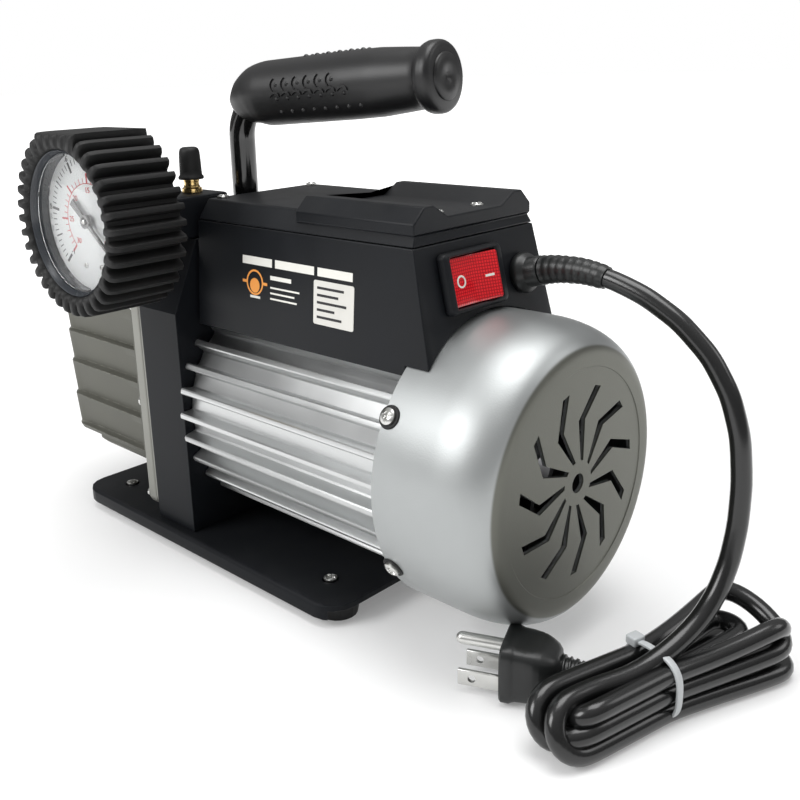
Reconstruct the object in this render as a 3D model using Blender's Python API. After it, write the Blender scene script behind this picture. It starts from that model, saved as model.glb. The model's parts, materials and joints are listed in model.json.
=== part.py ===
"""Rotary vane vacuum pump with a built-in motor, gauge and mains lead.

The machine is drawn about the motor's axis: +X runs along the shaft towards the fan cover, -Y is the
labelled side, +Z is up and the feet stand on z = 0. One empty, "machine", then shifts everything so
that the origin lies below the middle of the machine without its lead. All sizes are in metres.
"""

from math import atan2, ceil, cos, pi, radians, sin, tan

import bmesh
import bpy
from mathutils import Matrix, Vector

GAP = 0.0003  # kept between pieces that touch

# Shaft and fan cover: the driving dimensions
AXIS_Z = 0.0708
COVER_RADIUS = 0.0600
COVER_START = 0.0637
COVER_END = 0.1132
COVER_SHOULDER = 0.0118  # how far the rounded shoulder draws the cover in
COVER_SHOULDER_LENGTH = 0.0240
COVER_WALL = 0.0020
SHAFT_RADIUS = 0.0060

# Base plate and feet
BASE_X = (-0.1580, 0.0363)
BASE_HALF_WIDTH = 0.0560
BASE_TOP = 0.0106
BASE_SHEET = 0.0022
BASE_FLANGE_BOTTOM = 0.0038
BASE_CORNER = 0.0120
FOOT_RADIUS = 0.0100
FOOT_INSET = (0.0130, 0.0150)

# Pump head, tank and the vane pump inside it
HEAD_X = (-0.0940, -0.0650)
HEAD_HALF_WIDTH = 0.0505
HEAD_SHOULDER_Z = 0.1180
HEAD_TOP = 0.1500
GASKET = 0.0012
FLANGE = 0.0065
TANK_END = -0.1810
TANK_HALF_WIDTH = 0.0450
TANK_BOTTOM = 0.0280
TANK_TOP = 0.1190
TANK_WALL = 0.0040
FILLER_X = -0.1450
DRAIN_Z = 0.0400
GLASS_Z = 0.0700
STATOR_RADIUS = 0.0330
STATOR_BORE = 0.0235
STATOR_LENGTH = 0.0480
ROTOR_RADIUS = 0.0205
STUB_LENGTH = 0.0130  # the pump rotor's journal, through the gasket into the head
SLOT_FLOOR = 0.0040
ROTOR_SHIFT = STATOR_BORE - ROTOR_RADIUS - GAP  # the rotor nearly touches the bore's lowest line
SLOT_WIDTH = 0.0050
VANE_HEIGHT = 0.0120

# Motor
HOUSING_X = (HEAD_X[1] + GAP, COVER_START - GAP)
FIN_TIP = 0.0530
FIN_ROOT = 0.0460
FIN_COUNT = 28
FIN_THICKNESS = 0.0030
HOUSING_BORE = 0.0425
CORE_HALF_LENGTH = 0.0260
MOTOR_ROTOR_RADIUS = 0.0255
SHAFT_END = 0.0965
FAN_START = 0.0800
FAN_DEPTH = 0.0150
FAN_HUB = 0.0120
FAN_RADIUS = 0.0440
FAN_BLADES = 7
VENT_COUNT = 11
VENT_START = 75

# Terminal box and lid
BOX_X = (-0.0620, 0.0652)
BOX_SLOPE_END = 0.0759
BOX_BOTTOM = 0.1123
BOX_TOP = 0.1590
BOX_HALF_WIDTHS = (0.0400, 0.0362)
BOX_WALL = 0.0030
LID_LOW_TOP = 0.1680
LID_HIGH_TOP = 0.1731
LID_STEP_X = 0.0020

# Switch and cord exit, both on the box's sloping end
SLOPE = atan2(BOX_SLOPE_END - BOX_X[1], BOX_TOP - BOX_BOTTOM)
SWITCH_Y = -0.0080
SWITCH_Z = 0.1440
SWITCH_SIZE = (0.0350, 0.0232)
SWITCH_HOLE = (0.0300, 0.0208)
ROCKER_SIZE = (0.0255, 0.0180)
ROCKER_REST = radians(9)
GLAND_Y = 0.0235
GLAND_Z = 0.1410
GLAND_NECK = 0.0058
GLAND_REACH = 0.0100

# Handle
HANDLE_X = -0.0725
TUBE_RADIUS = 0.0060
HANDLE_TURN = radians(8)
HANDLE_TOP = 0.2115
HANDLE_RISE = radians(3.4)
HANDLE_REACH = 0.1130  # from the upright to the free end
HANDLE_BEND = 0.0200
GRIP_RADIUS = 0.0141

# Gauge, inlet and caps
GAUGE_X = -0.0768
GAUGE_Z = 0.1630
GAUGE_FRONT = -0.0935
BOOT_RADIUS = 0.0392
BOOT_DEPTH = 0.0355
LENS_DEPTH = 0.0058  # back of the lens, behind the gauge's front face
CASE_RADIUS = 0.0315
DIAL_RADIUS = 0.0288
NEEDLE_REST = radians(-42)
MANIFOLD = ((-0.0880, -0.0470, HEAD_TOP + GAP), (-0.0660, -0.0150, 0.1690))
INLET_X, INLET_Y = -0.0775, -0.0270

# Lead: centre line of its free run, from the gland to the hank
CORD_RADIUS = 0.00365
CORD_ROUTE = (
    (0.0980, 0.0237, 0.1452), (0.1100, 0.0240, 0.1432), (0.1230, 0.0246, 0.1388), (0.1365, 0.0252, 0.1312),
    (0.1485, 0.0255, 0.1205), (0.1568, 0.0252, 0.1080), (0.1618, 0.0245, 0.0940), (0.1642, 0.0232, 0.0780),
    (0.1649, 0.0212, 0.0630), (0.1645, 0.0178, 0.0505), (0.1633, 0.0125, 0.0408), (0.1615, 0.0055, 0.0346),
    (0.1592, -0.0030, 0.0316), (0.1568, -0.0115, 0.0307),
)
HANK_ENDS = ((0.1440, -0.0500), (0.1655, 0.0330))
HANK_WIDTHS = ((0.0, 0.0128), (0.35, 0.0118), (1.0, 0.0158))  # half width at shares of the way between the ends
HANK_BOTTOM = 0.0018
HANK_TOP = 0.0266
TIE_PLACE = 0.35
PLUG_FACE = (0.1085, -0.0380)
PLUG_HEADING = radians(24)  # the way the lead leaves the plug, from +X towards +Y
PLUG_SIZE = (0.0205, 0.0235, 0.0232)

# The machine without its lead, for the origin
EXTENT_X = (TANK_END, COVER_END)
EXTENT_Y = (GAUGE_FRONT, COVER_RADIUS)
ORIGIN = Vector((-sum(EXTENT_X) / 2, -sum(EXTENT_Y) / 2, 0))

for leftover in list(bpy.data.objects):
    bpy.data.objects.remove(leftover)

machine = bpy.data.objects.new("machine", None)
machine.location = ORIGIN
bpy.context.collection.objects.link(machine)


def material(name, colour, roughness, metallic=0.0):
    made = bpy.data.materials.new(name)
    made.use_nodes = True
    shader = made.node_tree.nodes["Principled BSDF"]
    shader.inputs["Base Color"].default_value = (*colour, 1)
    shader.inputs["Roughness"].default_value = roughness
    shader.inputs["Metallic"].default_value = metallic
    made.diffuse_color = (*colour, 1)
    return made


BLACK_PAINT = material("black_paint", (0.03, 0.032, 0.036), 0.4)
BLACK_PLASTIC = material("black_plastic", (0.025, 0.027, 0.03), 0.45)
BLACK_RUBBER = material("black_rubber", (0.02, 0.02, 0.02), 0.75)
BLACK_PVC = material("black_pvc", (0.012, 0.012, 0.012), 0.3)
CAST_ALUMINIUM = material("cast_aluminium", (0.6, 0.6, 0.58), 0.5, 1.0)
BRIGHT_ALUMINIUM = material("bright_aluminium", (0.75, 0.76, 0.76), 0.35, 1.0)
SPRAYED_SILVER = material("sprayed_silver", (0.62, 0.62, 0.62), 0.4, 0.8)
STEEL = material("steel", (0.55, 0.55, 0.56), 0.3, 1.0)
CAST_IRON = material("cast_iron", (0.25, 0.25, 0.26), 0.5, 1.0)
BRASS = material("brass", (0.75, 0.55, 0.22), 0.25, 1.0)
COPPER = material("copper", (0.7, 0.35, 0.2), 0.35, 1.0)
WHITE_ENAMEL = material("white_enamel", (0.85, 0.85, 0.83), 0.4)
CLEAR_GLASS = material("clear_glass", (0.9, 0.92, 0.92), 0.05)
RED_PLASTIC = material("red_plastic", (0.7, 0.02, 0.03), 0.3)
GREY_FIBRE = material("grey_fibre", (0.3, 0.3, 0.28), 0.8)
CABLE_TIE = material("cable_tie", (0.65, 0.66, 0.68), 0.4)


def add(name, mesh, colour, at=(0, 0, 0), turn=None, parent=machine):
    """Link a bmesh as an object of the machine, with its faces pointing out."""
    bmesh.ops.recalc_face_normals(mesh, faces=mesh.faces)
    data = bpy.data.meshes.new(name)
    mesh.to_mesh(data)
    mesh.free()
    made = bpy.data.objects.new(name, data)
    bpy.context.collection.objects.link(made)
    made.parent = parent
    made.matrix_basis = Matrix.Translation(at) @ (turn or Matrix())
    if colour:
        data.materials.append(colour)
        data.shade_smooth()
        data.set_sharp_from_angle(angle=radians(32))
    return made


def facing(direction):
    """Rotation that turns +Z into direction, and keeps +X level."""
    z = Vector(direction).normalized()
    x = Vector((0, 0, 1)).cross(z) if abs(z.z) < 0.999 else Vector((1, 0, 0))
    x.normalize()
    y = z.cross(x)
    return Matrix((x, y, z)).transposed().to_4x4()


ALONG_X = facing((1, 0, 0))
ALONG_Y_BACK = facing((0, -1, 0))


def cut(target, tool, kind="DIFFERENCE"):
    """Boolean of target with tool; the tool stays as a hidden wire helper."""
    tool.hide_render = True
    tool.display_type = "WIRE"
    change = target.modifiers.new(tool.name, "BOOLEAN")
    change.operation = kind
    change.solver = "EXACT"
    change.object = tool
    return target


def block(low, high):
    """Box between two opposite corners."""
    mesh = bmesh.new()
    bmesh.ops.create_cube(mesh, size=1)
    low, high = Vector(low), Vector(high)
    bmesh.ops.scale(mesh, vec=high - low, verts=mesh.verts)
    bmesh.ops.translate(mesh, vec=(low + high) / 2, verts=mesh.verts)
    return mesh


def rounded(mesh, radius, steps=3, keep=None):
    """Bevel the edges that keep(edge) picks, all of them by default."""
    edges = [edge for edge in mesh.edges if keep is None or keep(edge)]
    bmesh.ops.bevel(mesh, geom=edges, offset=radius, segments=steps, profile=0.5, affect="EDGES")
    return mesh


def runs_along(axis):
    """Test for edges parallel to one axis (0, 1 or 2)."""
    return lambda edge: abs((edge.verts[0].co - edge.verts[1].co).normalized()[axis]) > 0.999


def extruded(outline, start, end, axis="x"):
    """Solid of a closed outline, drawn in the (y, z), (x, z) or (x, y) plane, between two stations."""
    spots = {
        "x": lambda u, v: (start, u, v),
        "y": lambda u, v: (u, start, v),
        "z": lambda u, v: (u, v, start),
    }
    mesh = bmesh.new()
    face = mesh.faces.new([mesh.verts.new(spots[axis](u, v)) for u, v in outline])
    grown = bmesh.ops.extrude_face_region(mesh, geom=[face])["geom"]
    moved = [item for item in grown if isinstance(item, bmesh.types.BMVert)]
    shift = {"x": (1, 0, 0), "y": (0, 1, 0), "z": (0, 0, 1)}[axis]
    bmesh.ops.translate(mesh, vec=Vector(shift) * (end - start), verts=moved)
    return mesh


def turned(profile, steps=32):
    """Solid of revolution about Z; profile is (radius, height) points, closed through the axis or on itself."""
    mesh = bmesh.new()
    dots = [mesh.verts.new((radius, 0, height)) for radius, height in profile]
    pairs = list(zip(dots, dots[1:]))
    if profile[0][0] > 0:
        pairs.append((dots[-1], dots[0]))
    lines = [mesh.edges.new(pair) for pair in pairs]
    bmesh.ops.spin(
        mesh, geom=dots + lines, cent=(0, 0, 0), axis=(0, 0, 1), angle=2 * pi, steps=steps, use_merge=True
    )
    bmesh.ops.remove_doubles(mesh, verts=mesh.verts, dist=1e-6)
    return mesh


def disc(radius, low, high, steps=32):
    return turned([(0, low), (radius, low), (radius, high), (0, high)], steps)


def ring(inner, outer, low, high, steps=32):
    return turned([(inner, low), (outer, low), (outer, high), (inner, high)], steps)


def joined(*meshes):
    """Several separate bodies in one mesh, for a cutter that makes several holes."""
    whole = bmesh.new()
    for mesh in meshes:
        spare = bpy.data.meshes.new("spare")
        mesh.to_mesh(spare)
        mesh.free()
        whole.from_mesh(spare)
        bpy.data.meshes.remove(spare)
    return whole


def moved(mesh, matrix):
    bmesh.ops.transform(mesh, matrix=matrix, verts=mesh.verts)
    return mesh


def arc(centre, radius, start, end, steps):
    """Points on an arc, in degrees."""
    angles = [radians(start + (end - start) * i / steps) for i in range(steps + 1)]
    return [(centre[0] + radius * cos(a), centre[1] + radius * sin(a)) for a in angles]


def smooth_route(points, spacing):
    """Evenly spaced points on a Catmull-Rom curve through the given ones."""
    points = [Vector(p) for p in points]
    ends = [2 * points[0] - points[1], *points, 2 * points[-1] - points[-2]]
    fine = []
    for a, b, c, d in zip(ends, ends[1:], ends[2:], ends[3:]):
        for i in range(16):
            t = i / 16
            fine.append(
                0.5 * (2 * b + (c - a) * t + (2 * a - 5 * b + 4 * c - d) * t**2 + (3 * b - a - 3 * c + d) * t**3)
            )
    fine.append(points[-1])
    total = sum((q - p).length for p, q in zip(fine, fine[1:]))
    count = ceil(total / spacing)
    route, walked, wanted = [fine[0]], 0.0, total / count
    for p, q in zip(fine, fine[1:]):
        step = (q - p).length
        while len(route) < count and walked + step >= wanted * len(route):
            route.append(p.lerp(q, (wanted * len(route) - walked) / step))
        walked += step
    return [*route[:count], fine[-1]]


def tube(name, points, radius, colour):
    """Round bar along a line of points, with closed ends."""
    data = bpy.data.curves.new(name, "CURVE")
    data.dimensions = "3D"
    data.bevel_depth = radius
    data.bevel_resolution = 2
    data.use_fill_caps = True
    line = data.splines.new("POLY")
    line.points.add(len(points) - 1)
    for spot, point in zip(line.points, points):
        spot.co = (*point, 1)
    made = bpy.data.objects.new(name, data)
    bpy.context.collection.objects.link(made)
    made.parent = machine
    data.materials.append(colour)
    return made


# ---------------------------------------------------------------- base


def make_base():
    """Sheet bent down along both long sides, with rounded corners, on four rubber feet."""
    y, sheet = BASE_HALF_WIDTH, BASE_SHEET
    under = BASE_TOP - sheet
    profile = [
        (-y, BASE_FLANGE_BOTTOM), *arc((-y + sheet, BASE_TOP - sheet), sheet, 180, 90, 3),
        *arc((y - sheet, BASE_TOP - sheet), sheet, 90, 0, 3), (y, BASE_FLANGE_BOTTOM),
        (y - sheet, BASE_FLANGE_BOTTOM), (y - sheet, under - 0.0004), (-y + sheet, under - 0.0004),
        (-y + sheet, BASE_FLANGE_BOTTOM),
    ]
    plate = add("base_plate", extruded(profile, *BASE_X), BLACK_PAINT)
    outline = rounded(
        block((BASE_X[0], -y, 0), (BASE_X[1], y, 2 * BASE_TOP)), BASE_CORNER, 4, runs_along(2)
    )
    cut(plate, add("base_outline", outline, None), "INTERSECT")
    for number, (side, end) in enumerate([(-1, 1), (1, 1), (-1, 0), (1, 0)], 1):
        x = BASE_X[end] + FOOT_INSET[0] * (1 - 2 * end)
        shape = turned(
            [(0, 0), (FOOT_RADIUS * 0.85, 0), (FOOT_RADIUS, under - 0.0004 - GAP), (0, under - 0.0004 - GAP)], 20
        )
        add(f"rubber_foot_{number}", shape, BLACK_RUBBER, (x, side * (y - FOOT_INSET[1]), 0))


# ---------------------------------------------------------------- pump head and tank


def head_outline(inset=0.0):
    """The head's outline seen along the shaft; the tank flange and gasket share its lower part."""
    y = HEAD_HALF_WIDTH - inset
    bottom = BASE_TOP + GAP + inset
    return [
        (-y, bottom), (y, bottom), (y, HEAD_SHOULDER_Z), (0.036, HEAD_TOP), (-0.036, HEAD_TOP),
        (-y, HEAD_SHOULDER_Z),
    ]


def on_shaft(mesh, x):
    return moved(mesh, Matrix.Translation((x, 0, AXIS_Z)) @ ALONG_X)


def make_head():
    """Cast block between tank and motor: bearing and seal seats, and an intake way down from the top."""
    head = add("pump_head", extruded(head_outline(), *HEAD_X), BLACK_PAINT)
    seats = on_shaft(
        turned(
            [
                (0, -0.001), (0.0113, -0.001), (0.0113, 0.0070), (0.0072, 0.0070), (0.0072, 0.0180),
                (0.0163, 0.0180), (0.0163, 0.0300), (0, 0.0300),
            ],
            24,
        ),
        HEAD_X[0],
    )
    cut(head, add("head_seats", seats, None))
    way_x, way_y = INLET_X, INLET_Y
    intake = moved(disc(0.0035, 0, HEAD_TOP - AXIS_Z, 12), Matrix.Translation((way_x, way_y, AXIS_Z + 0.001)))
    cut(head, add("head_intake", intake, None))
    start = Matrix.Translation((HEAD_X[0] - 0.001, way_y, AXIS_Z + 0.0045))
    across = moved(disc(0.0035, 0, 0.0200, 12), start @ ALONG_X)
    cut(head, add("head_intake_across", across, None))
    seal = on_shaft(ring(SHAFT_RADIUS + GAP, 0.0110, 0, 0.0062, 24), HEAD_X[0] + 0.0003)
    add("shaft_seal", seal, BLACK_RUBBER)
    bearing = on_shaft(ring(SHAFT_RADIUS + GAP, 0.0160, 0, 0.0105, 28), HEAD_X[1] - 0.0107)
    add("front_bearing", bearing, STEEL)


def flange_outline(inset=0.0):
    y = HEAD_HALF_WIDTH - inset
    corner = 0.006
    low, high = 0.0140 + inset, TANK_TOP + 0.004 - inset
    return [
        *arc((-y + corner, low + corner), corner, 180, 270, 3), *arc((y - corner, low + corner), corner, 270, 360, 3),
        *arc((y - corner, high - corner), corner, 0, 90, 3), *arc((-y + corner, high - corner), corner, 90, 180, 3),
    ]


def tank_box(inset, start, end):
    y = TANK_HALF_WIDTH - inset
    mesh = block((start, -y, TANK_BOTTOM + inset), (end, y, TANK_TOP - inset))
    lengthwise = runs_along(0)
    return rounded(
        mesh, 0.008 - inset, 3, lambda edge: min(v.co.x for v in edge.verts) < start + 1e-5 or lengthwise(edge)
    )


def make_tank():
    """Cast oil tank, open to the head, with filler, drain and sight-glass holes; gasket between them."""
    face = HEAD_X[0] - GAP
    gasket = add("tank_gasket", extruded(flange_outline(0.0004), face - GASKET, face), GREY_FIBRE)
    hollow = block((face - 0.02, -TANK_HALF_WIDTH + TANK_WALL, TANK_BOTTOM + TANK_WALL),
                   (face + 0.02, TANK_HALF_WIDTH - TANK_WALL, TANK_TOP - TANK_WALL))
    cut(gasket, add("gasket_window", hollow, None))
    flange_face = face - GASKET - GAP
    tank = add("oil_tank", extruded(flange_outline(), flange_face - FLANGE, flange_face), CAST_ALUMINIUM)
    cut(tank, add("tank_body", tank_box(0.0, TANK_END, flange_face - FLANGE / 2), None), "UNION")
    cut(tank, add("tank_hollow", tank_box(TANK_WALL, TANK_END + TANK_WALL, flange_face + 0.01), None))
    holes = joined(
        moved(disc(0.0100, -0.01, 0.02, 24), Matrix.Translation((FILLER_X, 0, TANK_TOP - 0.004))),
        moved(disc(0.0045, -0.01, 0.02, 12), Matrix.Translation((TANK_END, 0.0, DRAIN_Z)) @ ALONG_X),
        moved(disc(0.0125, -0.01, 0.02, 24), Matrix.Translation((TANK_END, 0.0, GLASS_Z)) @ ALONG_X),
    )
    cut(tank, add("tank_holes", holes, None))


def make_tank_fittings():
    """Filler cap with its muffler, sight glass and drain screw."""
    cap = turned(
        [
            (0, -0.0060), (0.0094, -0.0060), (0.0094, GAP), (0.0150, GAP), (0.0150, 0.0200),
            (0.0130, 0.0220), (0, 0.0220),
        ],
        28,
    )
    add("filler_cap", cap, BLACK_PLASTIC, (FILLER_X, 0, TANK_TOP))
    outward = facing((-1, 0, 0))
    add("sight_glass", disc(0.0122, -TANK_WALL, -0.0004, 24), CLEAR_GLASS, (TANK_END, 0, GLASS_Z), outward)
    add("drain_screw", disc(0.0042, -0.0090, 0, 12), BRASS, (TANK_END, 0, DRAIN_Z), outward)


# ---------------------------------------------------------------- vane pump


def coil(name, start, end, radius, wire, turns, colour):
    """Compression spring between two points on a vertical line."""
    count = turns * 9
    points = [
        start + (end - start) * i / count
        + Vector((radius * cos(2 * pi * i / 9), radius * sin(2 * pi * i / 9), 0))
        for i in range(count + 1)
    ]
    return tube(name, points, wire, colour)


def make_vane_pump():
    """Stator with an offset bore, end plate, slotted rotor, two vanes and the springs between them."""
    start = HEAD_X[0] - GASKET - 2 * GAP
    end = start - STATOR_LENGTH
    stator = add("pump_stator", on_shaft(disc(STATOR_RADIUS, 0, STATOR_LENGTH, 40), end), CAST_IRON)
    bore = on_shaft(disc(STATOR_BORE, -0.001, STATOR_LENGTH + 0.001, 40), end)
    cut(stator, add("stator_bore", moved(bore, Matrix.Translation((0, 0, ROTOR_SHIFT))), None))
    plate = on_shaft(disc(STATOR_RADIUS, 0, 0.0070, 40), end - 0.0070 - GAP)
    add("pump_end_plate", plate, CAST_IRON)

    length = STATOR_LENGTH - 2 * GAP
    foot = Vector((end + GAP, 0, AXIS_Z))
    journal = length + STUB_LENGTH
    body = turned(
        [
            (0, 0), (ROTOR_RADIUS, 0), (ROTOR_RADIUS, length), (SHAFT_RADIUS, length), (SHAFT_RADIUS, journal),
            (0, journal),
        ],
        40,
    )
    rotor = add("pump_rotor", body, CAST_IRON, foot, ALONG_X)
    reach = ROTOR_RADIUS * 1.1
    slot = block((-0.001, -SLOT_WIDTH / 2, -reach), (length - SLOT_FLOOR, SLOT_WIDTH / 2, reach))
    cut(rotor, add("rotor_slot", slot, None, foot))
    tip = ROTOR_RADIUS - 0.0006
    for number, side in ((1, 1), (2, -1)):
        vane = block(
            (0.0004, -SLOT_WIDTH / 2 + GAP, tip - VANE_HEIGHT), (length - SLOT_FLOOR - GAP, SLOT_WIDTH / 2 - GAP, tip)
        )
        flip = Matrix.Rotation(0 if side > 0 else pi, 4, "X")
        add(f"vane_{number}", vane, GREY_FIBRE, foot, flip)
    inner = tip - VANE_HEIGHT - 0.0010
    for number, share in ((1, 0.28), (2, 0.72)):
        centre = foot + Vector((length * share, 0, 0))
        rise = Vector((0, 0, inner))
        coil(f"vane_spring_{number}", centre - rise, centre + rise, 0.0013, 0.0003, 5, STEEL)


# ---------------------------------------------------------------- motor


def make_shaft_line():
    """Motor shaft with its squirrel-cage rotor and the cooling fan."""
    start = HEAD_X[0] + STUB_LENGTH - 2 * GAP
    add("motor_shaft", disc(SHAFT_RADIUS, 0, SHAFT_END - start, 24), STEEL, (start, 0, AXIS_Z), ALONG_X)
    rotor = ring(SHAFT_RADIUS + GAP, MOTOR_ROTOR_RADIUS, -CORE_HALF_LENGTH, CORE_HALF_LENGTH, 36)
    add("motor_rotor", rotor, BRIGHT_ALUMINIUM, (0, 0, AXIS_Z), ALONG_X)
    outline = []
    for blade in range(FAN_BLADES):
        aim = 2 * pi * blade / FAN_BLADES
        for radius, width in ((FAN_HUB, -1), (FAN_RADIUS, -1), (FAN_RADIUS, 1), (FAN_HUB, 1)):
            turn = aim + width * 0.0011 / radius
            outline.append((radius * cos(turn), radius * sin(turn)))
    fan = add("cooling_fan", extruded(outline, 0, FAN_DEPTH), BLACK_PLASTIC, (FAN_START, 0, AXIS_Z))
    hole = moved(disc(SHAFT_RADIUS + GAP, -0.001, FAN_DEPTH + 0.001, 24), ALONG_X)
    cut(fan, add("fan_hole", hole, None, (FAN_START, 0, AXIS_Z)))


def make_motor():
    """Finned housing around the wound stator, closed by an end shield that holds the rear bearing."""
    outline = []
    for fin in range(FIN_COUNT):
        aim = 2 * pi * fin / FIN_COUNT - pi / 2
        for radius, side in ((FIN_ROOT, -1), (FIN_TIP, -1), (FIN_TIP, 1), (FIN_ROOT, 1)):
            turn = aim + side * FIN_THICKNESS / 2 / radius
            outline.append((radius * cos(turn), AXIS_Z + radius * sin(turn)))
    housing = add("motor_housing", extruded(outline, *HOUSING_X), BRIGHT_ALUMINIUM)
    bore = on_shaft(disc(HOUSING_BORE, -0.001, HOUSING_X[1] - HOUSING_X[0] + 0.002, 48), HOUSING_X[0])
    cut(housing, add("housing_bore", bore, None))
    core = on_shaft(ring(MOTOR_ROTOR_RADIUS + GAP, HOUSING_BORE - GAP, -CORE_HALF_LENGTH, CORE_HALF_LENGTH, 48), 0)
    add("stator_core", core, STEEL)
    for name, side in (("front_winding", -1), ("rear_winding", 1)):
        low, high = sorted((side * (CORE_HALF_LENGTH + GAP), side * (CORE_HALF_LENGTH + 0.0150)))
        add(name, on_shaft(ring(0.0280, 0.0385, low, high, 32), 0), COPPER)
    shield = turned(
        [
            (0.0163, 0), (COVER_RADIUS - COVER_WALL - GAP, 0), (COVER_RADIUS - COVER_WALL - GAP, 0.0040),
            (0.0220, 0.0040), (0.0220, 0.0110), (0.0163, 0.0110),
        ],
        48,
    )
    add("end_shield", on_shaft(shield, COVER_START), CAST_ALUMINIUM)
    bearing = on_shaft(ring(SHAFT_RADIUS + GAP, 0.0160, 0, 0.0100, 28), COVER_START)
    add("rear_bearing", bearing, STEEL)


def vent(turn):
    """One dog-leg air slot: thin at the hub, wide at the knee, then bent back with an even width."""
    shape = []
    for radius, lean, width in (
        (0.0092, 0, -0.0007), (0.0246, 12, -0.0026), (0.0372, -3, -0.0019),
        (0.0372, -3, 0.0019), (0.0246, 12, 0.0016), (0.0092, 0, 0.0007),
    ):
        aim = radians(turn + lean) + width / radius
        shape.append((radius * cos(aim), AXIS_Z + radius * sin(aim)))
    return extruded(shape, COVER_END - 0.006, COVER_END + 0.006)


def make_fan_cover():
    """Spun cover with a round shoulder; its flat end has dog-leg slots around a centre hole."""
    depth = COVER_END - COVER_START
    bend = COVER_RADIUS - COVER_SHOULDER
    inner_bend = COVER_SHOULDER - COVER_WALL
    stretch = COVER_SHOULDER_LENGTH / COVER_SHOULDER
    crown = depth - COVER_SHOULDER_LENGTH
    outer = [(radius, crown + rise * stretch) for radius, rise in arc((bend, 0), COVER_SHOULDER, 0, 90, 7)]
    stretch = (COVER_SHOULDER_LENGTH - COVER_WALL) / inner_bend
    inner = [(radius, crown + rise * stretch) for radius, rise in arc((bend, 0), inner_bend, 90, 0, 6)]
    profile = [
        (0, depth - COVER_WALL), *inner, (COVER_RADIUS - COVER_WALL, 0), (COVER_RADIUS, 0), *outer, (0, depth),
    ]
    cover = add("fan_cover", on_shaft(turned(profile, 60), COVER_START), SPRAYED_SILVER)
    vents = [vent(VENT_START + 360 * k / VENT_COUNT) for k in range(VENT_COUNT)]
    centre = on_shaft(disc(0.0038, -0.006, 0.006, 16), COVER_END)
    cut(cover, add("cover_vents", joined(centre, *vents), None))


# ---------------------------------------------------------------- terminal box


def tapered(low, high, z_low, z_high):
    """Box whose bottom and top are the rectangles low and high, each (x0, x1, half width)."""
    mesh = bmesh.new()
    corners = []
    for (x0, x1, half), z in ((low, z_low), (high, z_high)):
        corners.append([mesh.verts.new(p) for p in ((x0, -half, z), (x1, -half, z), (x1, half, z), (x0, half, z))])
    mesh.faces.new(corners[0])
    mesh.faces.new(corners[1])
    for a in range(4):
        b = (a + 1) % 4
        mesh.faces.new((corners[0][a], corners[0][b], corners[1][b], corners[1][a]))
    return mesh


def slope_x(z):
    """X of the box's sloping end at height z."""
    return BOX_X[1] + (BOX_TOP - z) * tan(SLOPE)


SLOPE_NORMAL = (cos(SLOPE), 0, sin(SLOPE))


def make_terminal_box():
    """Moulded box saddled on the motor and the cover, open at the top; it holds the run capacitor."""
    low_half, high_half = BOX_HALF_WIDTHS
    outer = tapered((BOX_X[0], BOX_SLOPE_END, low_half), (BOX_X[0], BOX_X[1], high_half), BOX_BOTTOM, BOX_TOP)
    box = add("terminal_box", outer, BLACK_PLASTIC)
    floor = AXIS_Z + FIN_TIP + 0.0050
    inner_end = slope_x(floor) - BOX_WALL - 0.0090
    inner = tapered(
        (BOX_X[0] + BOX_WALL, inner_end, high_half - BOX_WALL),
        (BOX_X[0] + BOX_WALL, BOX_X[1] - BOX_WALL, high_half - BOX_WALL),
        floor, BOX_TOP + 0.001,
    )
    cut(box, add("box_inside", inner, None))
    saddle = turned(
        [
            (0, -0.080), (FIN_TIP + GAP, -0.080), (FIN_TIP + GAP, HOUSING_X[1]), (COVER_RADIUS + GAP, HOUSING_X[1]),
            (COVER_RADIUS + GAP, 0.090), (0, 0.090),
        ],
        60,
    )
    cut(box, add("box_saddle", on_shaft(saddle, 0), None))
    across, along = SWITCH_HOLE[0] / 2, SWITCH_HOLE[1] / 2
    hole = block((-0.012, -across, -along), (0.006, across, along))
    cut(box, add("switch_hole", hole, None, *on_slope(SWITCH_Y, SWITCH_Z)))
    way = moved(disc(GLAND_NECK + GAP, -0.012, 0.012, 20), ALONG_X)
    cut(box, add("gland_hole", way, None, *on_slope(GLAND_Y, GLAND_Z)))
    add("capacitor", disc(0.0125, 0, 0.0600, 28), WHITE_ENAMEL, (-0.0500, 0.0150, floor + 0.0130), ALONG_X)


def on_slope(y, z):
    """Place on the sloping end, with +X turned along its normal."""
    return (slope_x(z), y, z), Matrix.Rotation(-SLOPE, 4, "Y")


def make_lid():
    """Lid with a low rear part and two raised shoulders at the fan end."""
    half = BOX_HALF_WIDTHS[1]
    seam = BOX_TOP + GAP
    top_half = half - 0.0050
    low = tapered((BOX_X[0], BOX_X[1], half), (BOX_X[0] + 0.0020, BOX_X[1] - 0.0020, top_half), seam, LID_LOW_TOP)
    lid = add("box_lid", low, BLACK_PLASTIC)
    valley = LID_LOW_TOP + 0.0004
    profile = [
        (-half + 0.0010, seam + 0.0040), (half - 0.0010, seam + 0.0040), (half - 0.0010, LID_LOW_TOP - 0.0005),
        (0.0292, LID_HIGH_TOP), (0.0240, LID_HIGH_TOP), (0.0160, valley), (-0.0160, valley),
        (-0.0240, LID_HIGH_TOP), (-0.0292, LID_HIGH_TOP), (-half + 0.0010, LID_LOW_TOP - 0.0005),
    ]
    raised = extruded(profile, LID_STEP_X, BOX_X[1] - 0.0004)
    cut(lid, add("lid_shoulders", raised, None), "UNION")
    pocket = block(
        (BOX_X[0] + BOX_WALL, -half + BOX_WALL + 0.0030, BOX_TOP - 0.001),
        (BOX_X[1] - BOX_WALL - 0.0020, half - BOX_WALL - 0.0030, LID_LOW_TOP - 0.0025),
    )
    cut(lid, add("lid_pocket", pocket, None))


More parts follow.
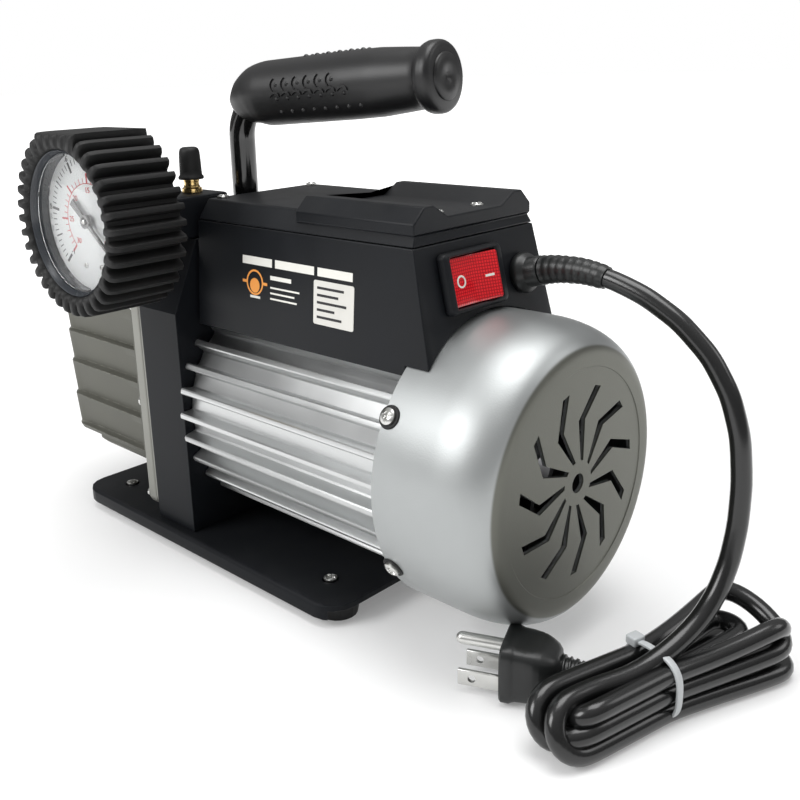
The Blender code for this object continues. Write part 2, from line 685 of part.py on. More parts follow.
def make_switch():
    """Rocker switch: a raised frame let into the slope, and a rocker that tips about a line up the slope."""
    place, tilt = on_slope(SWITCH_Y, SWITCH_Z)
    y, z = SWITCH_SIZE[0] / 2, SWITCH_SIZE[1] / 2
    frame = block((GAP, -y, -z), (0.0035, y, z))
    bezel = add("switch_frame", frame, BLACK_PLASTIC, place, tilt)
    body_y, body_z = SWITCH_HOLE[0] / 2 - GAP, SWITCH_HOLE[1] / 2 - GAP
    body = block((-0.0150, -body_y, -body_z), (0.0020, body_y, body_z))
    cut(bezel, add("switch_body", body, None, place, tilt), "UNION")
    window_y, window_z = ROCKER_SIZE[0] / 2 + 0.0005, ROCKER_SIZE[1] / 2 + 0.0004
    window = block((-0.0100, -window_y, -window_z), (0.0060, window_y, window_z))
    cut(bezel, add("switch_window", window, None, place, tilt))
    crown = 0.0042
    outline = [
        (-0.0040, -0.0085), (crown - 0.0005, -ROCKER_SIZE[0] / 2 + 0.0009), (crown - 0.0022, 0),
        (crown - 0.0005, ROCKER_SIZE[0] / 2 - 0.0009), (-0.0040, 0.0085),
    ]
    half = ROCKER_SIZE[1] / 2
    rocker = extruded(outline, -half, half, "z")
    add("rocker", rocker, RED_PLASTIC, place, tilt @ Matrix.Rotation(ROCKER_REST, 4, "Z"))


def make_gland():
    """Strain relief: a flange on the slope, a neck through the wall and a tapered sleeve for the lead."""
    place, _ = on_slope(GLAND_Y, GLAND_Z)
    wall = -0.0070
    profile = [
        (0, wall), (GLAND_NECK, wall), (GLAND_NECK, GAP), (0.0078, GAP), (0.0072, 0.0026), (0.0055, 0.0034),
        (0.0050, GLAND_REACH), (0, GLAND_REACH),
    ]
    add("cord_gland", turned(profile, 24), BLACK_RUBBER, place, facing(SLOPE_NORMAL))


# ---------------------------------------------------------------- handle


def handle_spot(s):
    """Point and direction at a distance s up the handle's centre line: upright, bend, sloping arm."""
    upright = HANDLE_TOP - HANDLE_BEND - HEAD_TOP
    full_turn = pi / 2 - HANDLE_RISE
    turn = min(max(s - upright, 0) / HANDLE_BEND, full_turn)
    beyond = max(s - upright - HANDLE_BEND * full_turn, 0)
    across = HANDLE_BEND * (1 - cos(turn)) + beyond * sin(turn)
    up = min(s, upright) + HANDLE_BEND * sin(turn) + beyond * cos(turn)
    heading = Vector((cos(HANDLE_TURN), sin(HANDLE_TURN), 0))
    foot = Vector((HANDLE_X, 0, HEAD_TOP))
    rise = Vector((0, 0, 1))
    return foot + heading * across + rise * up, heading * sin(turn) + rise * cos(turn)


HANDLE_LENGTH = HANDLE_TOP - 2 * HANDLE_BEND - HEAD_TOP + HANDLE_BEND * (pi / 2 - HANDLE_RISE) + HANDLE_REACH


def sleeve(profile, steps=24):
    """Turned form bent along the handle; profile is (distance, radius), from and to the centre line."""
    mesh = bmesh.new()
    side = Vector((-sin(HANDLE_TURN), cos(HANDLE_TURN), 0))
    rings = []
    for distance, radius in profile:
        middle, ahead = handle_spot(distance)
        up = ahead.cross(side)
        aims = [2 * pi * k / steps for k in range(steps)] if radius else [0]
        rings.append([mesh.verts.new(middle + radius * (side * cos(a) + up * sin(a))) for a in aims])
    for near, far in zip(rings, rings[1:]):
        for k in range(steps):
            corners = [near[k % len(near)], near[(k + 1) % len(near)], far[(k + 1) % len(far)], far[k % len(far)]]
            mesh.faces.new(dict.fromkeys(corners))
    return mesh


def make_handle():
    """Bent tube bolted upright on the head, with a moulded rubber grip over its arm."""
    tube_end = HANDLE_LENGTH - 0.0080
    count = 30
    points = [handle_spot(GAP + (tube_end - GAP) * i / count)[0] for i in range(count + 1)]
    tube("handle_tube", points, TUBE_RADIUS, BLACK_PAINT)
    collar = ring(TUBE_RADIUS + GAP, 0.0105, GAP, 0.0080, 24)
    add("handle_collar", collar, BLACK_PAINT, (HANDLE_X, 0, HEAD_TOP))
    start, end = HANDLE_LENGTH - HANDLE_REACH + 0.0030, HANDLE_LENGTH
    bore = TUBE_RADIUS + 2 * GAP
    inner = [(tube_end + 0.001, bore), *[(start + 0.0030 * i, bore) for i in range(7, -1, -1)]]
    outer = [
        (start, 0.0090), (start + 0.006, 0.0118), (start + 0.012, 0.0134), (start + 0.018, GRIP_RADIUS),
        (start + 0.040, GRIP_RADIUS), (end - 0.045, GRIP_RADIUS), (end - 0.030, 0.0138), (end - 0.018, 0.0128),
        (end - 0.009, 0.0121), (end - 0.007, 0.0138), (end - 0.005, 0.0143), (end - 0.002, 0.0143), (end, 0.0130),
    ]
    add("handle_grip", sleeve([(tube_end + 0.001, 0), *inner, *outer, (end, 0)]), BLACK_RUBBER)


# ---------------------------------------------------------------- gauge and inlet


def gauge_piece(name, profile, colour, steps=48):
    """Turned piece on the gauge's axis; heights run from the gauge's front face backwards as negative."""
    return add(name, turned(profile, steps), colour, (GAUGE_X, GAUGE_FRONT, GAUGE_Z), ALONG_Y_BACK)


def make_gauge():
    """Back-mounted dial gauge in a ribbed rubber boot."""
    face = -LENS_DEPTH
    gauge_piece(
        "gauge_boot",
        [
            (CASE_RADIUS + GAP, -BOOT_DEPTH), (BOOT_RADIUS - 0.001, -BOOT_DEPTH),
            (BOOT_RADIUS, -BOOT_DEPTH + 0.002), (BOOT_RADIUS, -0.0030), (BOOT_RADIUS - 0.0020, 0),
            (DIAL_RADIUS + 0.0010, -0.0020),
            (DIAL_RADIUS + 0.0010, face + 0.0026), (CASE_RADIUS + GAP, face + 0.0026),
        ],
        BLACK_RUBBER,
    )
    gauge_piece(
        "gauge_case",
        [
            (0, -BOOT_DEPTH + 0.0010), (CASE_RADIUS, -BOOT_DEPTH + 0.0010), (CASE_RADIUS, face + 0.0022),
            (DIAL_RADIUS + GAP, face + 0.0022), (DIAL_RADIUS + GAP, face - 0.0080), (0, face - 0.0080),
        ],
        BLACK_PLASTIC,
    )
    for name, low, high, colour in (
        ("gauge_dial", face - 0.0074, face - 0.0062, WHITE_ENAMEL), ("gauge_lens", face, face + 0.0018, CLEAR_GLASS),
    ):
        gauge_piece(name, [(0, low), (DIAL_RADIUS, low), (DIAL_RADIUS, high), (0, high)], colour)
    outline = [
        (-0.0085, -0.0016), (-0.0020, -0.0006), (0.0235, -0.0003), (0.0235, 0.0003), (-0.0020, 0.0006),
        (-0.0085, 0.0016),
    ]
    needle = extruded(outline, 0.0, 0.0010, "z")
    aim = ALONG_Y_BACK @ Matrix.Rotation(NEEDLE_REST, 4, "Z")
    add("gauge_needle", needle, STEEL, (GAUGE_X, GAUGE_FRONT - face + 0.0050, GAUGE_Z), aim)
    back = GAUGE_FRONT + BOOT_DEPTH - 0.0010 + GAP
    stem_length = MANIFOLD[0][1] - GAP - back
    stem = turned([(0, 0), (0.0070, 0), (0.0070, stem_length), (0, stem_length)], 6)
    add("gauge_stem", stem, BRASS, (GAUGE_X, back, GAUGE_Z), facing((0, 1, 0)))


def make_inlet():
    """Intake block on the head, with the gauge on one side and a hose nipple under a rubber cap on top."""
    low, high = MANIFOLD
    body = add("intake_block", rounded(block(low, high), 0.0015, 2), BLACK_PAINT)
    way = disc(0.0030, -0.001, high[2] - low[2] + 0.001, 12)
    way = moved(way, Matrix.Translation((INLET_X, INLET_Y, low[2])))
    cut(body, add("intake_way", way, None))
    top = high[2] + GAP
    nipple = turned(
        [
            (0.0018, 0), (0.0046, 0), (0.0046, 0.0020), (0.0036, 0.0026), (0.0036, 0.0130), (0.0018, 0.0130),
        ],
        20,
    )
    add("inlet_nipple", nipple, BRASS, (INLET_X, INLET_Y, top))
    cap = turned(
        [
            (0, 0.0135), (0.0039, 0.0135), (0.0039, 0.0062), (0.0057, 0.0062), (0.0050, 0.0080), (0.0047, 0.0180),
            (0.0036, 0.0200), (0, 0.0206),
        ],
        20,
    )
    add("inlet_cap", cap, BLACK_RUBBER, (INLET_X, INLET_Y, top))


# ---------------------------------------------------------------- lead


def hank_half_width(share):
    """Half width of the hank at a share of the way from its near end to its far end."""
    for (before, low), (after, high) in zip(HANK_WIDTHS, HANK_WIDTHS[1:]):
        if share <= after:
            ease = 0.5 - 0.5 * cos(pi * (share - before) / (after - before))
            return low + (high - low) * ease


def hank_outline():
    """Round ends joined by sides that draw in at the tie."""
    (x1, y1), (x2, y2) = HANK_ENDS
    lean = atan2(y2 - y1, x2 - x1)
    shares = [i / 12 for i in range(1, 12)]
    near = arc((x1, y1), hank_half_width(0), 90 + lean * 180 / pi, 270 + lean * 180 / pi, 10)
    far = arc((x2, y2), hank_half_width(1), lean * 180 / pi - 90, lean * 180 / pi + 90, 12)

    def edge(share, side):
        reach = side * hank_half_width(share)
        return x1 + (x2 - x1) * share - reach * sin(lean), y1 + (y2 - y1) * share + reach * cos(lean)

    return [*near, *[edge(t, -1) for t in shares], *far, *[edge(t, 1) for t in reversed(shares)]]


def make_tie():
    """Cable tie round the waist of the hank."""
    (x1, y1), (x2, y2) = HANK_ENDS
    half = hank_half_width(TIE_PLACE) + 0.0008
    low, high = HANK_BOTTOM - GAP, HANK_TOP + GAP
    wall = 0.0012
    place = (x1 + (x2 - x1) * TIE_PLACE, y1 + (y2 - y1) * TIE_PLACE, 0)
    lean = Matrix.Rotation(atan2(y2 - y1, x2 - x1), 4, "Z")
    band = block((-0.0014, -half - wall, low - wall), (0.0014, half + wall, high + wall))
    tie = add("cord_tie", rounded(band, 0.0015, 2, runs_along(0)), CABLE_TIE, place, lean)
    opening = block((-0.01, -half, low), (0.01, half, high))
    cut(tie, add("tie_inside", opening, None, place, lean))


def make_lead():
    """Free run of the lead, the tied hank on the floor, and the moulded plug with its three pins."""
    gland = Vector(on_slope(GLAND_Y, GLAND_Z)[0])
    straight = [gland + Vector(SLOPE_NORMAL) * (GLAND_REACH + GAP + beyond) for beyond in (0.0002, 0.0060)]
    route = smooth_route([*straight, *CORD_ROUTE], 0.0085)
    tube("power_cord", route, CORD_RADIUS, BLACK_PVC)
    add("cord_hank", extruded(hank_outline(), HANK_BOTTOM, HANK_TOP, "z"), BLACK_PVC)
    make_tie()

    ahead = Vector((cos(PLUG_HEADING), sin(PLUG_HEADING), 0))
    length, width, height = PLUG_SIZE
    turn = Matrix.Rotation(PLUG_HEADING, 4, "Z")
    narrow = width / 2 - 0.0048
    section = [
        *arc((-width / 2 + 0.004, 0.0044), 0.004, 180, 270, 3), *arc((width / 2 - 0.004, 0.0044), 0.004, 270, 360, 3),
        (width / 2, height * 0.45), *arc((narrow - 0.003, height - 0.004), 0.004, 20, 90, 3),
        *arc((-narrow + 0.003, height - 0.004), 0.004, 90, 160, 3), (-width / 2, height * 0.45),
    ]
    body = extruded(section, 0, length)
    plug = add("plug_body", body, BLACK_PVC, (*PLUG_FACE, 0), turn)
    cone = turned([(0, 0), (0.0065, 0), (0.0042, 0.0098), (0, 0.0098)], 16)
    relief = moved(cone, Matrix.Translation((length - 0.0020, 0, height / 2)) @ ALONG_X)
    cut(plug, add("plug_relief", relief, None, (*PLUG_FACE, 0), turn), "UNION")
    for name, side in (("plug_blade_live", -1), ("plug_blade_neutral", 1)):
        middle = side * 0.00635
        blade = block((-0.0160, middle - 0.00075, 0.0034), (-GAP, middle + 0.00075, 0.0034 + 0.00635))
        add(name, blade, BRASS, (*PLUG_FACE, 0), turn)
    pin = moved(disc(0.0024, 0, 0.0180, 14), Matrix.Translation((-0.0180 - GAP, 0, 0.0186)) @ ALONG_X)
    add("plug_ground_pin", pin, BRASS, (*PLUG_FACE, 0), turn)


make_base()
make_head()
make_tank()
make_tank_fittings()
make_vane_pump()
make_shaft_line()
make_motor()
make_fan_cover()
make_terminal_box()
make_lid()
make_switch()
make_gland()
make_handle()
make_gauge()
make_inlet()
make_lead()
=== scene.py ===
# %% [markdown]
# # A rotary vane vacuum pump, piece by piece
# The machine pumps air out of refrigeration circuits. A finned motor turns a slotted rotor in an oil bath.
# On top sit a terminal box, a carrying handle and a vacuum gauge in a rubber boot. Its solid model is
# finished: every part has its size, its place and its joints. This script gives the machine its looks. It
# keeps each solid whose shape is right and only gives it a finish. Where the real piece is finer than its
# solid, it builds a new piece in the same place.

import json
from math import cos, pi, radians, sin

import bmesh
import bpy
import numpy as np
from mathutils import Matrix, Vector


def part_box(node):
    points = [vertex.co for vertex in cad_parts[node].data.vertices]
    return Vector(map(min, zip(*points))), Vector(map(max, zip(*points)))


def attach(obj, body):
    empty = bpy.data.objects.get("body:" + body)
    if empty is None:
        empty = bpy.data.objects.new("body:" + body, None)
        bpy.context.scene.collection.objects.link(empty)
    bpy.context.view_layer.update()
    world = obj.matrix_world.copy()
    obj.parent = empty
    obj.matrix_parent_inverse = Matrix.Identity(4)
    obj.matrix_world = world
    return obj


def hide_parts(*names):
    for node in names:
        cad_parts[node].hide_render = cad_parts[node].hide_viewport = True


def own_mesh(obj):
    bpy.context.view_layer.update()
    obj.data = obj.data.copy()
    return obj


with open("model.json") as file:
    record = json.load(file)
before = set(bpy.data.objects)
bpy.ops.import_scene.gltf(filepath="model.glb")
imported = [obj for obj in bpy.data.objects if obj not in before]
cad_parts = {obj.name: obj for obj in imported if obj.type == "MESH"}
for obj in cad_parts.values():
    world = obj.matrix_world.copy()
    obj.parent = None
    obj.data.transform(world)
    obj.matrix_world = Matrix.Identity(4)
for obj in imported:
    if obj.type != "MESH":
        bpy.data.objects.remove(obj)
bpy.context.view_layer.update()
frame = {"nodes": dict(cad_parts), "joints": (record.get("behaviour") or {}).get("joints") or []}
solids = frame["nodes"]
hinges = {joint["name"]: joint for joint in frame["joints"]}
shaft = np.array(hinges["shaft_spin"]["pos_m"])
print("solids", len(solids), "shaft at", shaft)


def corners_of(node):
    """Lowest and highest corner of a solid, as arrays."""
    low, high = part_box(node)
    return np.array(low), np.array(high)


# %% [markdown]
# ## Camera, floor and light
# The machine is seen from the front right, a little from above, with its gauge to the left.
# A camera needs a place, two directions and a focal length. Two unit vectors across and up the picture are
# worked out from the compass angle, the height angle and a slight roll.
# The sensor shift moves the picture without turning the camera, so upright edges stay as they are.

# %% Camera
def new_object(name, data):
    """Object at the origin, linked to the scene."""
    made = bpy.data.objects.new(name, data)
    bpy.context.scene.collection.objects.link(made)
    return made


AZIMUTH, ELEVATION, ROLL = radians(45.27), radians(16.6), radians(-1.95)
backward = Vector((sin(AZIMUTH) * cos(ELEVATION), -cos(AZIMUTH) * cos(ELEVATION), sin(ELEVATION)))
level = Vector((cos(AZIMUTH), sin(AZIMUTH), 0))
upright = backward.cross(level)
picture_x = level * cos(ROLL) + upright * sin(ROLL)
picture_y = upright * cos(ROLL) - level * sin(ROLL)

camera = new_object("camera", bpy.data.cameras.new("camera"))
camera.data.lens = 43.82
camera.data.shift_x, camera.data.shift_y = 0.0511, -0.0539
camera.data.clip_start = 0.01
camera.matrix_world = Matrix((picture_x, picture_y, backward)).transposed().to_4x4()
camera.location = (0.3269, -0.2737, 0.2217)
bpy.context.scene.camera = camera
print("camera", round(camera.data.lens, 2), "mm lens at", tuple(round(v, 3) for v in camera.location))

# %% [markdown]
# A white floor and a white background give the look of a product table. For everything but the camera the
# sky is darker towards the horizon, so that black parts stay black and metal gets both light and dark to
# mirror. Three large lamps shape the metal: a broad one from the left, a wide one above and a weak one from
# the right. Large lamps close to small things give soft shadows and long soft highlights.

# %% Floor, sky and lamps
def floor_sheet(size):
    """Square of four points at height zero."""
    corners = [(-size, -size, 0), (size, -size, 0), (size, size, 0), (-size, size, 0)]
    mesh = bpy.data.meshes.new("floor")
    mesh.from_pydata(corners, [], [(0, 1, 2, 3)])
    return new_object("floor", mesh)


FLOOR_HALF = 12  # metres, so far out that its edge is never seen
floor = floor_sheet(FLOOR_HALF)

sky = bpy.data.worlds.new("sky")
sky.use_nodes = True
sky_nodes, sky_links = sky.node_tree.nodes, sky.node_tree.links
bpy.context.scene.world = sky
direction = sky_nodes.new("ShaderNodeTexCoord").outputs["Generated"]
height = sky_nodes.new("ShaderNodeSeparateXYZ")
sky_links.new(direction, height.inputs[0])
shade = sky_nodes.new("ShaderNodeMapRange")
shade.inputs["From Min"].default_value, shade.inputs["From Max"].default_value = -0.1, 0.9
shade.inputs["To Min"].default_value, shade.inputs["To Max"].default_value = 0.09, 0.60
sky_links.new(height.outputs["Z"], shade.inputs["Value"])
seen = sky_nodes.new("ShaderNodeMix")
seen.inputs["B"].default_value = 1.0
sky_links.new(sky_nodes.new("ShaderNodeLightPath").outputs["Is Camera Ray"], seen.inputs["Factor"])
sky_links.new(shade.outputs["Result"], seen.inputs["A"])
sky_links.new(seen.outputs["Result"], sky_nodes["Background"].inputs["Strength"])
sky_nodes["Background"].inputs["Color"].default_value = (1, 1, 1, 1)
bpy.context.scene.view_settings.view_transform = "Standard"


def lamp(name, place, target, size, power):
    """Square area lamp that faces a target."""
    data = bpy.data.lights.new(name, "AREA")
    data.size, data.energy = size, power
    made = new_object(name, data)
    made.location = place
    made.rotation_euler = (Vector(target) - Vector(place)).to_track_quat("-Z", "Y").to_euler()


LAMP_TARGET = (0, 0, 0.1)
lamp("key_lamp", (-0.5, -1.3, 1.0), LAMP_TARGET, 0.8, 15)
lamp("top_lamp", (0.15, 0.1, 1.5), LAMP_TARGET, 1.0, 14)
lamp("side_lamp", (1.1, 0.9, 1.0), LAMP_TARGET, 0.6, 2.5)
print("lamps", [(light.name, light.energy) for light in bpy.data.lights])

# %% [markdown]
# ## Finishes
# Three effects return on most surfaces: fine grain, wear along edges and a little dust on what faces up.
# Each one is a node group with named inputs, built once and placed in every material that needs it.
# All patterns read Object coordinates, which here are metres in the machine's own frame.

# %% Node helpers
def new_group(name, inputs, outputs):
    """Empty shader group with float inputs (name, value) and the named outputs."""
    group = bpy.data.node_groups.new(name, "ShaderNodeTree")
    for label, value in inputs:
        socket = group.interface.new_socket(label, in_out="INPUT", socket_type="NodeSocketFloat")
        socket.default_value = value
    for label, kind in outputs:
        group.interface.new_socket(label, in_out="OUTPUT", socket_type=kind)
    return group, group.nodes.new("NodeGroupInput"), group.nodes.new("NodeGroupOutput")


def add_node(tree, kind, links=None, **settings):
    """Node with its settings, and with inputs linked to sockets or set to values."""
    node = tree.nodes.new("ShaderNode" + kind)
    for key, value in settings.items():
        setattr(node, key, value)
    for key, value in (links or {}).items():
        if isinstance(value, bpy.types.NodeSocket):
            tree.links.new(value, node.inputs[key])
        else:
            node.inputs[key].default_value = value
    return node


def math_node(tree, operation, first, second=0.5, third=0.0, clamp=False):
    """Output socket of a Math node."""
    node = add_node(tree, "Math", {0: first, 1: second, 2: third}, operation=operation, use_clamp=clamp)
    return node.outputs[0]


def object_place(tree):
    """Place on the piece, in metres in the machine's own frame."""
    return add_node(tree, "TexCoord").outputs["Object"]


print("node helpers: new_group, add_node, math_node, object_place")

# %% Grain
grain, given, wanted = new_group("grain", [("Per metre", 2000.0), ("Softness", 0.5)],
                                 [("Height", "NodeSocketFloat"), ("Tone", "NodeSocketFloat")])
COARSE_SHARE = 0.02  # the tone changes fifty times more slowly than the bump
place = object_place(grain)
per_metre, softness = given.outputs["Per metre"], given.outputs["Softness"]
fine = add_node(grain, "TexNoise", {"Vector": place, "Scale": per_metre, "Roughness": softness})
coarse = add_node(grain, "TexNoise",
                  {"Vector": place, "Scale": math_node(grain, "MULTIPLY", per_metre, COARSE_SHARE)})
grain.links.new(fine.outputs["Fac"], wanted.inputs["Height"])
grain.links.new(coarse.outputs["Fac"], wanted.inputs["Tone"])
print("grain sockets", [socket.name for socket in grain.interface.items_tree])

# %% [markdown]
# Paint rubs off where edges stick out. A Bevel node gives the normal that a rounded edge would have, and the
# true normal differs from it only near edges. One minus the dot product of the two is the wear mask.

# %% Rubbed edges
rubbed, given, wanted = new_group(
    "rubbed_edges", [("Radius", 0.0008), ("Amount", 0.5)], [("Mask", "NodeSocketFloat")]
)
round_normal = add_node(rubbed, "Bevel", {"Radius": given.outputs["Radius"]}, samples=6).outputs["Normal"]
true_normal = add_node(rubbed, "NewGeometry").outputs["Normal"]
agree = add_node(rubbed, "VectorMath", {0: round_normal, 1: true_normal},
                 operation="DOT_PRODUCT").outputs["Value"]
near_edge = math_node(rubbed, "MULTIPLY", math_node(rubbed, "SUBTRACT", 1.0, agree), 9.0, clamp=True)
patches = add_node(rubbed, "TexNoise", {"Vector": object_place(rubbed), "Scale": 260.0})
uneven = add_node(rubbed, "MapRange", {"Value": patches.outputs["Fac"], 1: 0.42, 2: 0.62}).outputs["Result"]
worn = math_node(rubbed, "MULTIPLY", math_node(rubbed, "MULTIPLY", near_edge, uneven), given.outputs["Amount"])
rubbed.links.new(worn, wanted.inputs["Mask"])
print("rubbed_edges sockets", [socket.name for socket in rubbed.interface.items_tree])

# %% Dust
dust, given, wanted = new_group("dust", [("Amount", 0.2)], [("Mask", "NodeSocketFloat")])
facing_up = add_node(dust, "SeparateXYZ", {0: add_node(dust, "NewGeometry").outputs["Normal"]}).outputs["Z"]
settled = add_node(dust, "MapRange", {"Value": facing_up, 1: 0.35, 2: 1.0}).outputs["Result"]
drift = add_node(dust, "TexNoise", {"Vector": object_place(dust), "Scale": 90.0, "Detail": 6.0})
lying = math_node(dust, "MULTIPLY", math_node(dust, "MULTIPLY", settled, drift.outputs["Fac"]),
                  given.outputs["Amount"])
dust.links.new(lying, wanted.inputs["Mask"])
print("node groups", [group.name for group in bpy.data.node_groups])

# %% [markdown]
# A material starts from its plain colour, roughness and metallic value. Grain then moves the colour and the
# roughness a little and raises a fine bump. Wear and dust are mixed into the colour through their masks.

# %% Material helper
DUST_COLOUR = (0.35, 0.34, 0.32, 1)
ROUGH_LOW, ROUGH_HIGH = 0.85, 1.15  # how far the grain moves the roughness


def blend(tree, factor, first, second):
    """Colour that goes from the first to the second as the factor goes from 0 to 1."""
    return add_node(tree, "Mix", {0: factor, 6: first, 7: second}, data_type="RGBA").outputs[2]


def placed_group(tree, group, **values):
    """Node group placed in a material, with its own values."""
    node = tree.nodes.new("ShaderNodeGroup")
    node.node_tree = group
    for label, value in values.items():
        node.inputs[label.replace("_", " ")].default_value = value
    return node


def finish(name, colour, roughness, metallic=0.0, per_metre=2500.0, bump=0.1, bump_height=0.0001, tone=0.25,
           wear=0.0, wear_colour=(0.3, 0.3, 0.3), wear_radius=0.0008, dusty=0.0, **plain):
    """Principled material with grain, worn edges and dust. plain holds values for further sockets."""
    made = bpy.data.materials.new(name)
    made.use_nodes = True
    tree = made.node_tree
    shader = tree.nodes["Principled BSDF"]
    shader.inputs["Metallic"].default_value = metallic
    for socket, value in plain.items():
        shader.inputs[socket.replace("_", " ")].default_value = value
    grained = placed_group(tree, grain, Per_metre=per_metre)
    dark = [channel * (1 - tone) for channel in colour]
    bright = [min(channel * (1 + tone), 1) for channel in colour]
    mixed = blend(tree, grained.outputs["Tone"], (*dark, 1), (*bright, 1))
    if wear:
        edges = placed_group(tree, rubbed, Radius=wear_radius, Amount=wear)
        mixed = blend(tree, edges.outputs["Mask"], mixed, (*wear_colour, 1))
    if dusty:
        layer = placed_group(tree, dust, Amount=dusty)
        mixed = blend(tree, layer.outputs["Mask"], mixed, DUST_COLOUR)
    tree.links.new(mixed, shader.inputs["Base Color"])
    ends = {3: roughness * ROUGH_LOW, 4: min(roughness * ROUGH_HIGH, 1.0)}
    rough = add_node(tree, "MapRange", {"Value": grained.outputs["Tone"], **ends})
    tree.links.new(rough.outputs["Result"], shader.inputs["Roughness"])
    relief = {"Height": grained.outputs["Height"], "Strength": bump, "Distance": bump_height}
    tree.links.new(add_node(tree, "Bump", relief).outputs["Normal"], shader.inputs["Normal"])
    return made


print("finish() mixes", [group.name for group in (grain, rubbed, dust)])

# %% Paints, plastics and rubber
black_paint = finish("black powder coat", (0.0075, 0.0085, 0.0105), 0.38, per_metre=1500, bump=0.25,
                     wear=0.30, wear_colour=(0.04, 0.042, 0.046), dusty=0.022,
                     Specular_IOR_Level=0.12)
tube_paint = finish("black gloss paint", (0.005, 0.005, 0.005), 0.14, per_metre=700, bump=0.08, wear=0.2,
                    Coat_Weight=0.5, Coat_Roughness=0.08)
box_plastic = finish("black moulded plastic", (0.0065, 0.0075, 0.0095), 0.42, per_metre=3000, bump=0.18,
                     wear=0.22, wear_colour=(0.030, 0.033, 0.038), wear_radius=0.0005, dusty=0.045,
                     Specular_IOR_Level=0.2)
dark_plastic = finish("dark gauge plastic", (0.045, 0.05, 0.058), 0.25, bump=0.05)
rubber = finish("black moulded rubber", (0.0075, 0.0076, 0.0078), 0.55, per_metre=1800, bump=0.25, dusty=0.02,
                Specular_IOR_Level=0.35)
grip_rubber = finish("black grip rubber", (0.0055, 0.0055, 0.0060), 0.40, per_metre=2600, bump=0.2, dusty=0.01)
sheath = finish("black cord sheath", (0.0065, 0.0067, 0.0068), 0.24, per_metre=900, bump=0.12,
                Specular_IOR_Level=0.5, Coat_Weight=0.25, Coat_Roughness=0.15)
plug_plastic = finish("black plug plastic", (0.011, 0.012, 0.012), 0.36, per_metre=2200, bump=0.15,
                      Specular_IOR_Level=0.5)
tie_nylon = finish("grey tie nylon", (0.50, 0.52, 0.53), 0.35, bump=0.06, tone=0.1)
label_white = finish("white printing ink", (0.78, 0.77, 0.72), 0.5, bump=0.02, tone=0.08)
label_orange = finish("orange printing ink", (0.85, 0.33, 0.06), 0.5, bump=0.02, tone=0.08)
label_grey = finish("dark printing ink", (0.012, 0.012, 0.014), 0.55, bump=0.02, tone=0.1)
dial_red = finish("red printing ink", (0.55, 0.04, 0.05), 0.5, bump=0.02, tone=0.08)
dial_white = finish("white dial paint", (0.80, 0.82, 0.82), 0.35, bump=0.03, tone=0.04)
sticker_paper = finish("sticker paper", (0.66, 0.65, 0.61), 0.55, per_metre=3500, bump=0.08, tone=0.08)
print("paints, plastics and inks", len(bpy.data.materials))

# %% Metals
cast_metal = finish("cast aluminium", (0.112, 0.112, 0.094), 0.52, 0.45, per_metre=1900, bump=0.35, tone=0.2,
                    wear=0.55, wear_colour=(0.42, 0.42, 0.37), wear_radius=0.0007)
# Cast aluminium painted lighter, as painted light: the flange faces the lamps and catches more light than the
# tank.
lit_cast_metal = finish("trimmed casting", (0.28, 0.28, 0.255), 0.45, 0.6, per_metre=1900, bump=0.3, tone=0.15,
                       wear=0.5, wear_colour=(0.55, 0.55, 0.50), wear_radius=0.0006)
silver_paint = finish("sprayed silver", (0.405, 0.42, 0.42), 0.43, 0.85, per_metre=1500, bump=0.35, tone=0.10,
                      wear=0.25, wear_colour=(0.75, 0.75, 0.75), wear_radius=0.0005)
zinc = finish("zinc-plated steel", (0.62, 0.62, 0.60), 0.28, 1.0, bump=0.05, tone=0.1)
steel = finish("ground steel", (0.52, 0.52, 0.53), 0.3, 1.0, per_metre=1600, bump=0.1)
iron = finish("machined iron", (0.24, 0.24, 0.25), 0.45, 1.0, per_metre=1600, bump=0.15)
brass = finish("turned brass", (0.78, 0.56, 0.24), 0.22, 1.0, per_metre=1400, bump=0.06, tone=0.12)
copper = finish("enamelled copper", (0.68, 0.32, 0.18), 0.3, 1.0, per_metre=2200, bump=0.3)
fibre = finish("grey fibre", (0.26, 0.26, 0.24), 0.75, per_metre=1500, bump=0.4)
print("with the metals", len(bpy.data.materials))

# %% [markdown]
# Extruded aluminium shows fine lines along the way it was pulled through the die. The noise is stretched
# with a Mapping node: it changes slowly along X and quickly across it.

# %% Extruded aluminium
extruded_metal = finish("extruded aluminium", (0.62, 0.63, 0.63), 0.32, 0.95, bump=0.05, tone=0.05, wear=0.25,
                        wear_colour=(0.85, 0.85, 0.85), wear_radius=0.0004)
DRAWN_LINES = (12, 1500, 1500)  # changes per metre along X and across it
tree = extruded_metal.node_tree
stretch = add_node(tree, "Mapping", {"Vector": object_place(tree), "Scale": DRAWN_LINES})
lines = add_node(tree, "TexNoise", {"Vector": stretch.outputs["Vector"], "Scale": 1.0, "Detail": 3.0})
drawn = add_node(tree, "Bump", {"Height": lines.outputs["Fac"], "Strength": 0.25, "Distance": 0.00008})
tree.links.new(drawn.outputs["Normal"], tree.nodes["Principled BSDF"].inputs["Normal"])
print("drawn lines per metre", DRAWN_LINES)
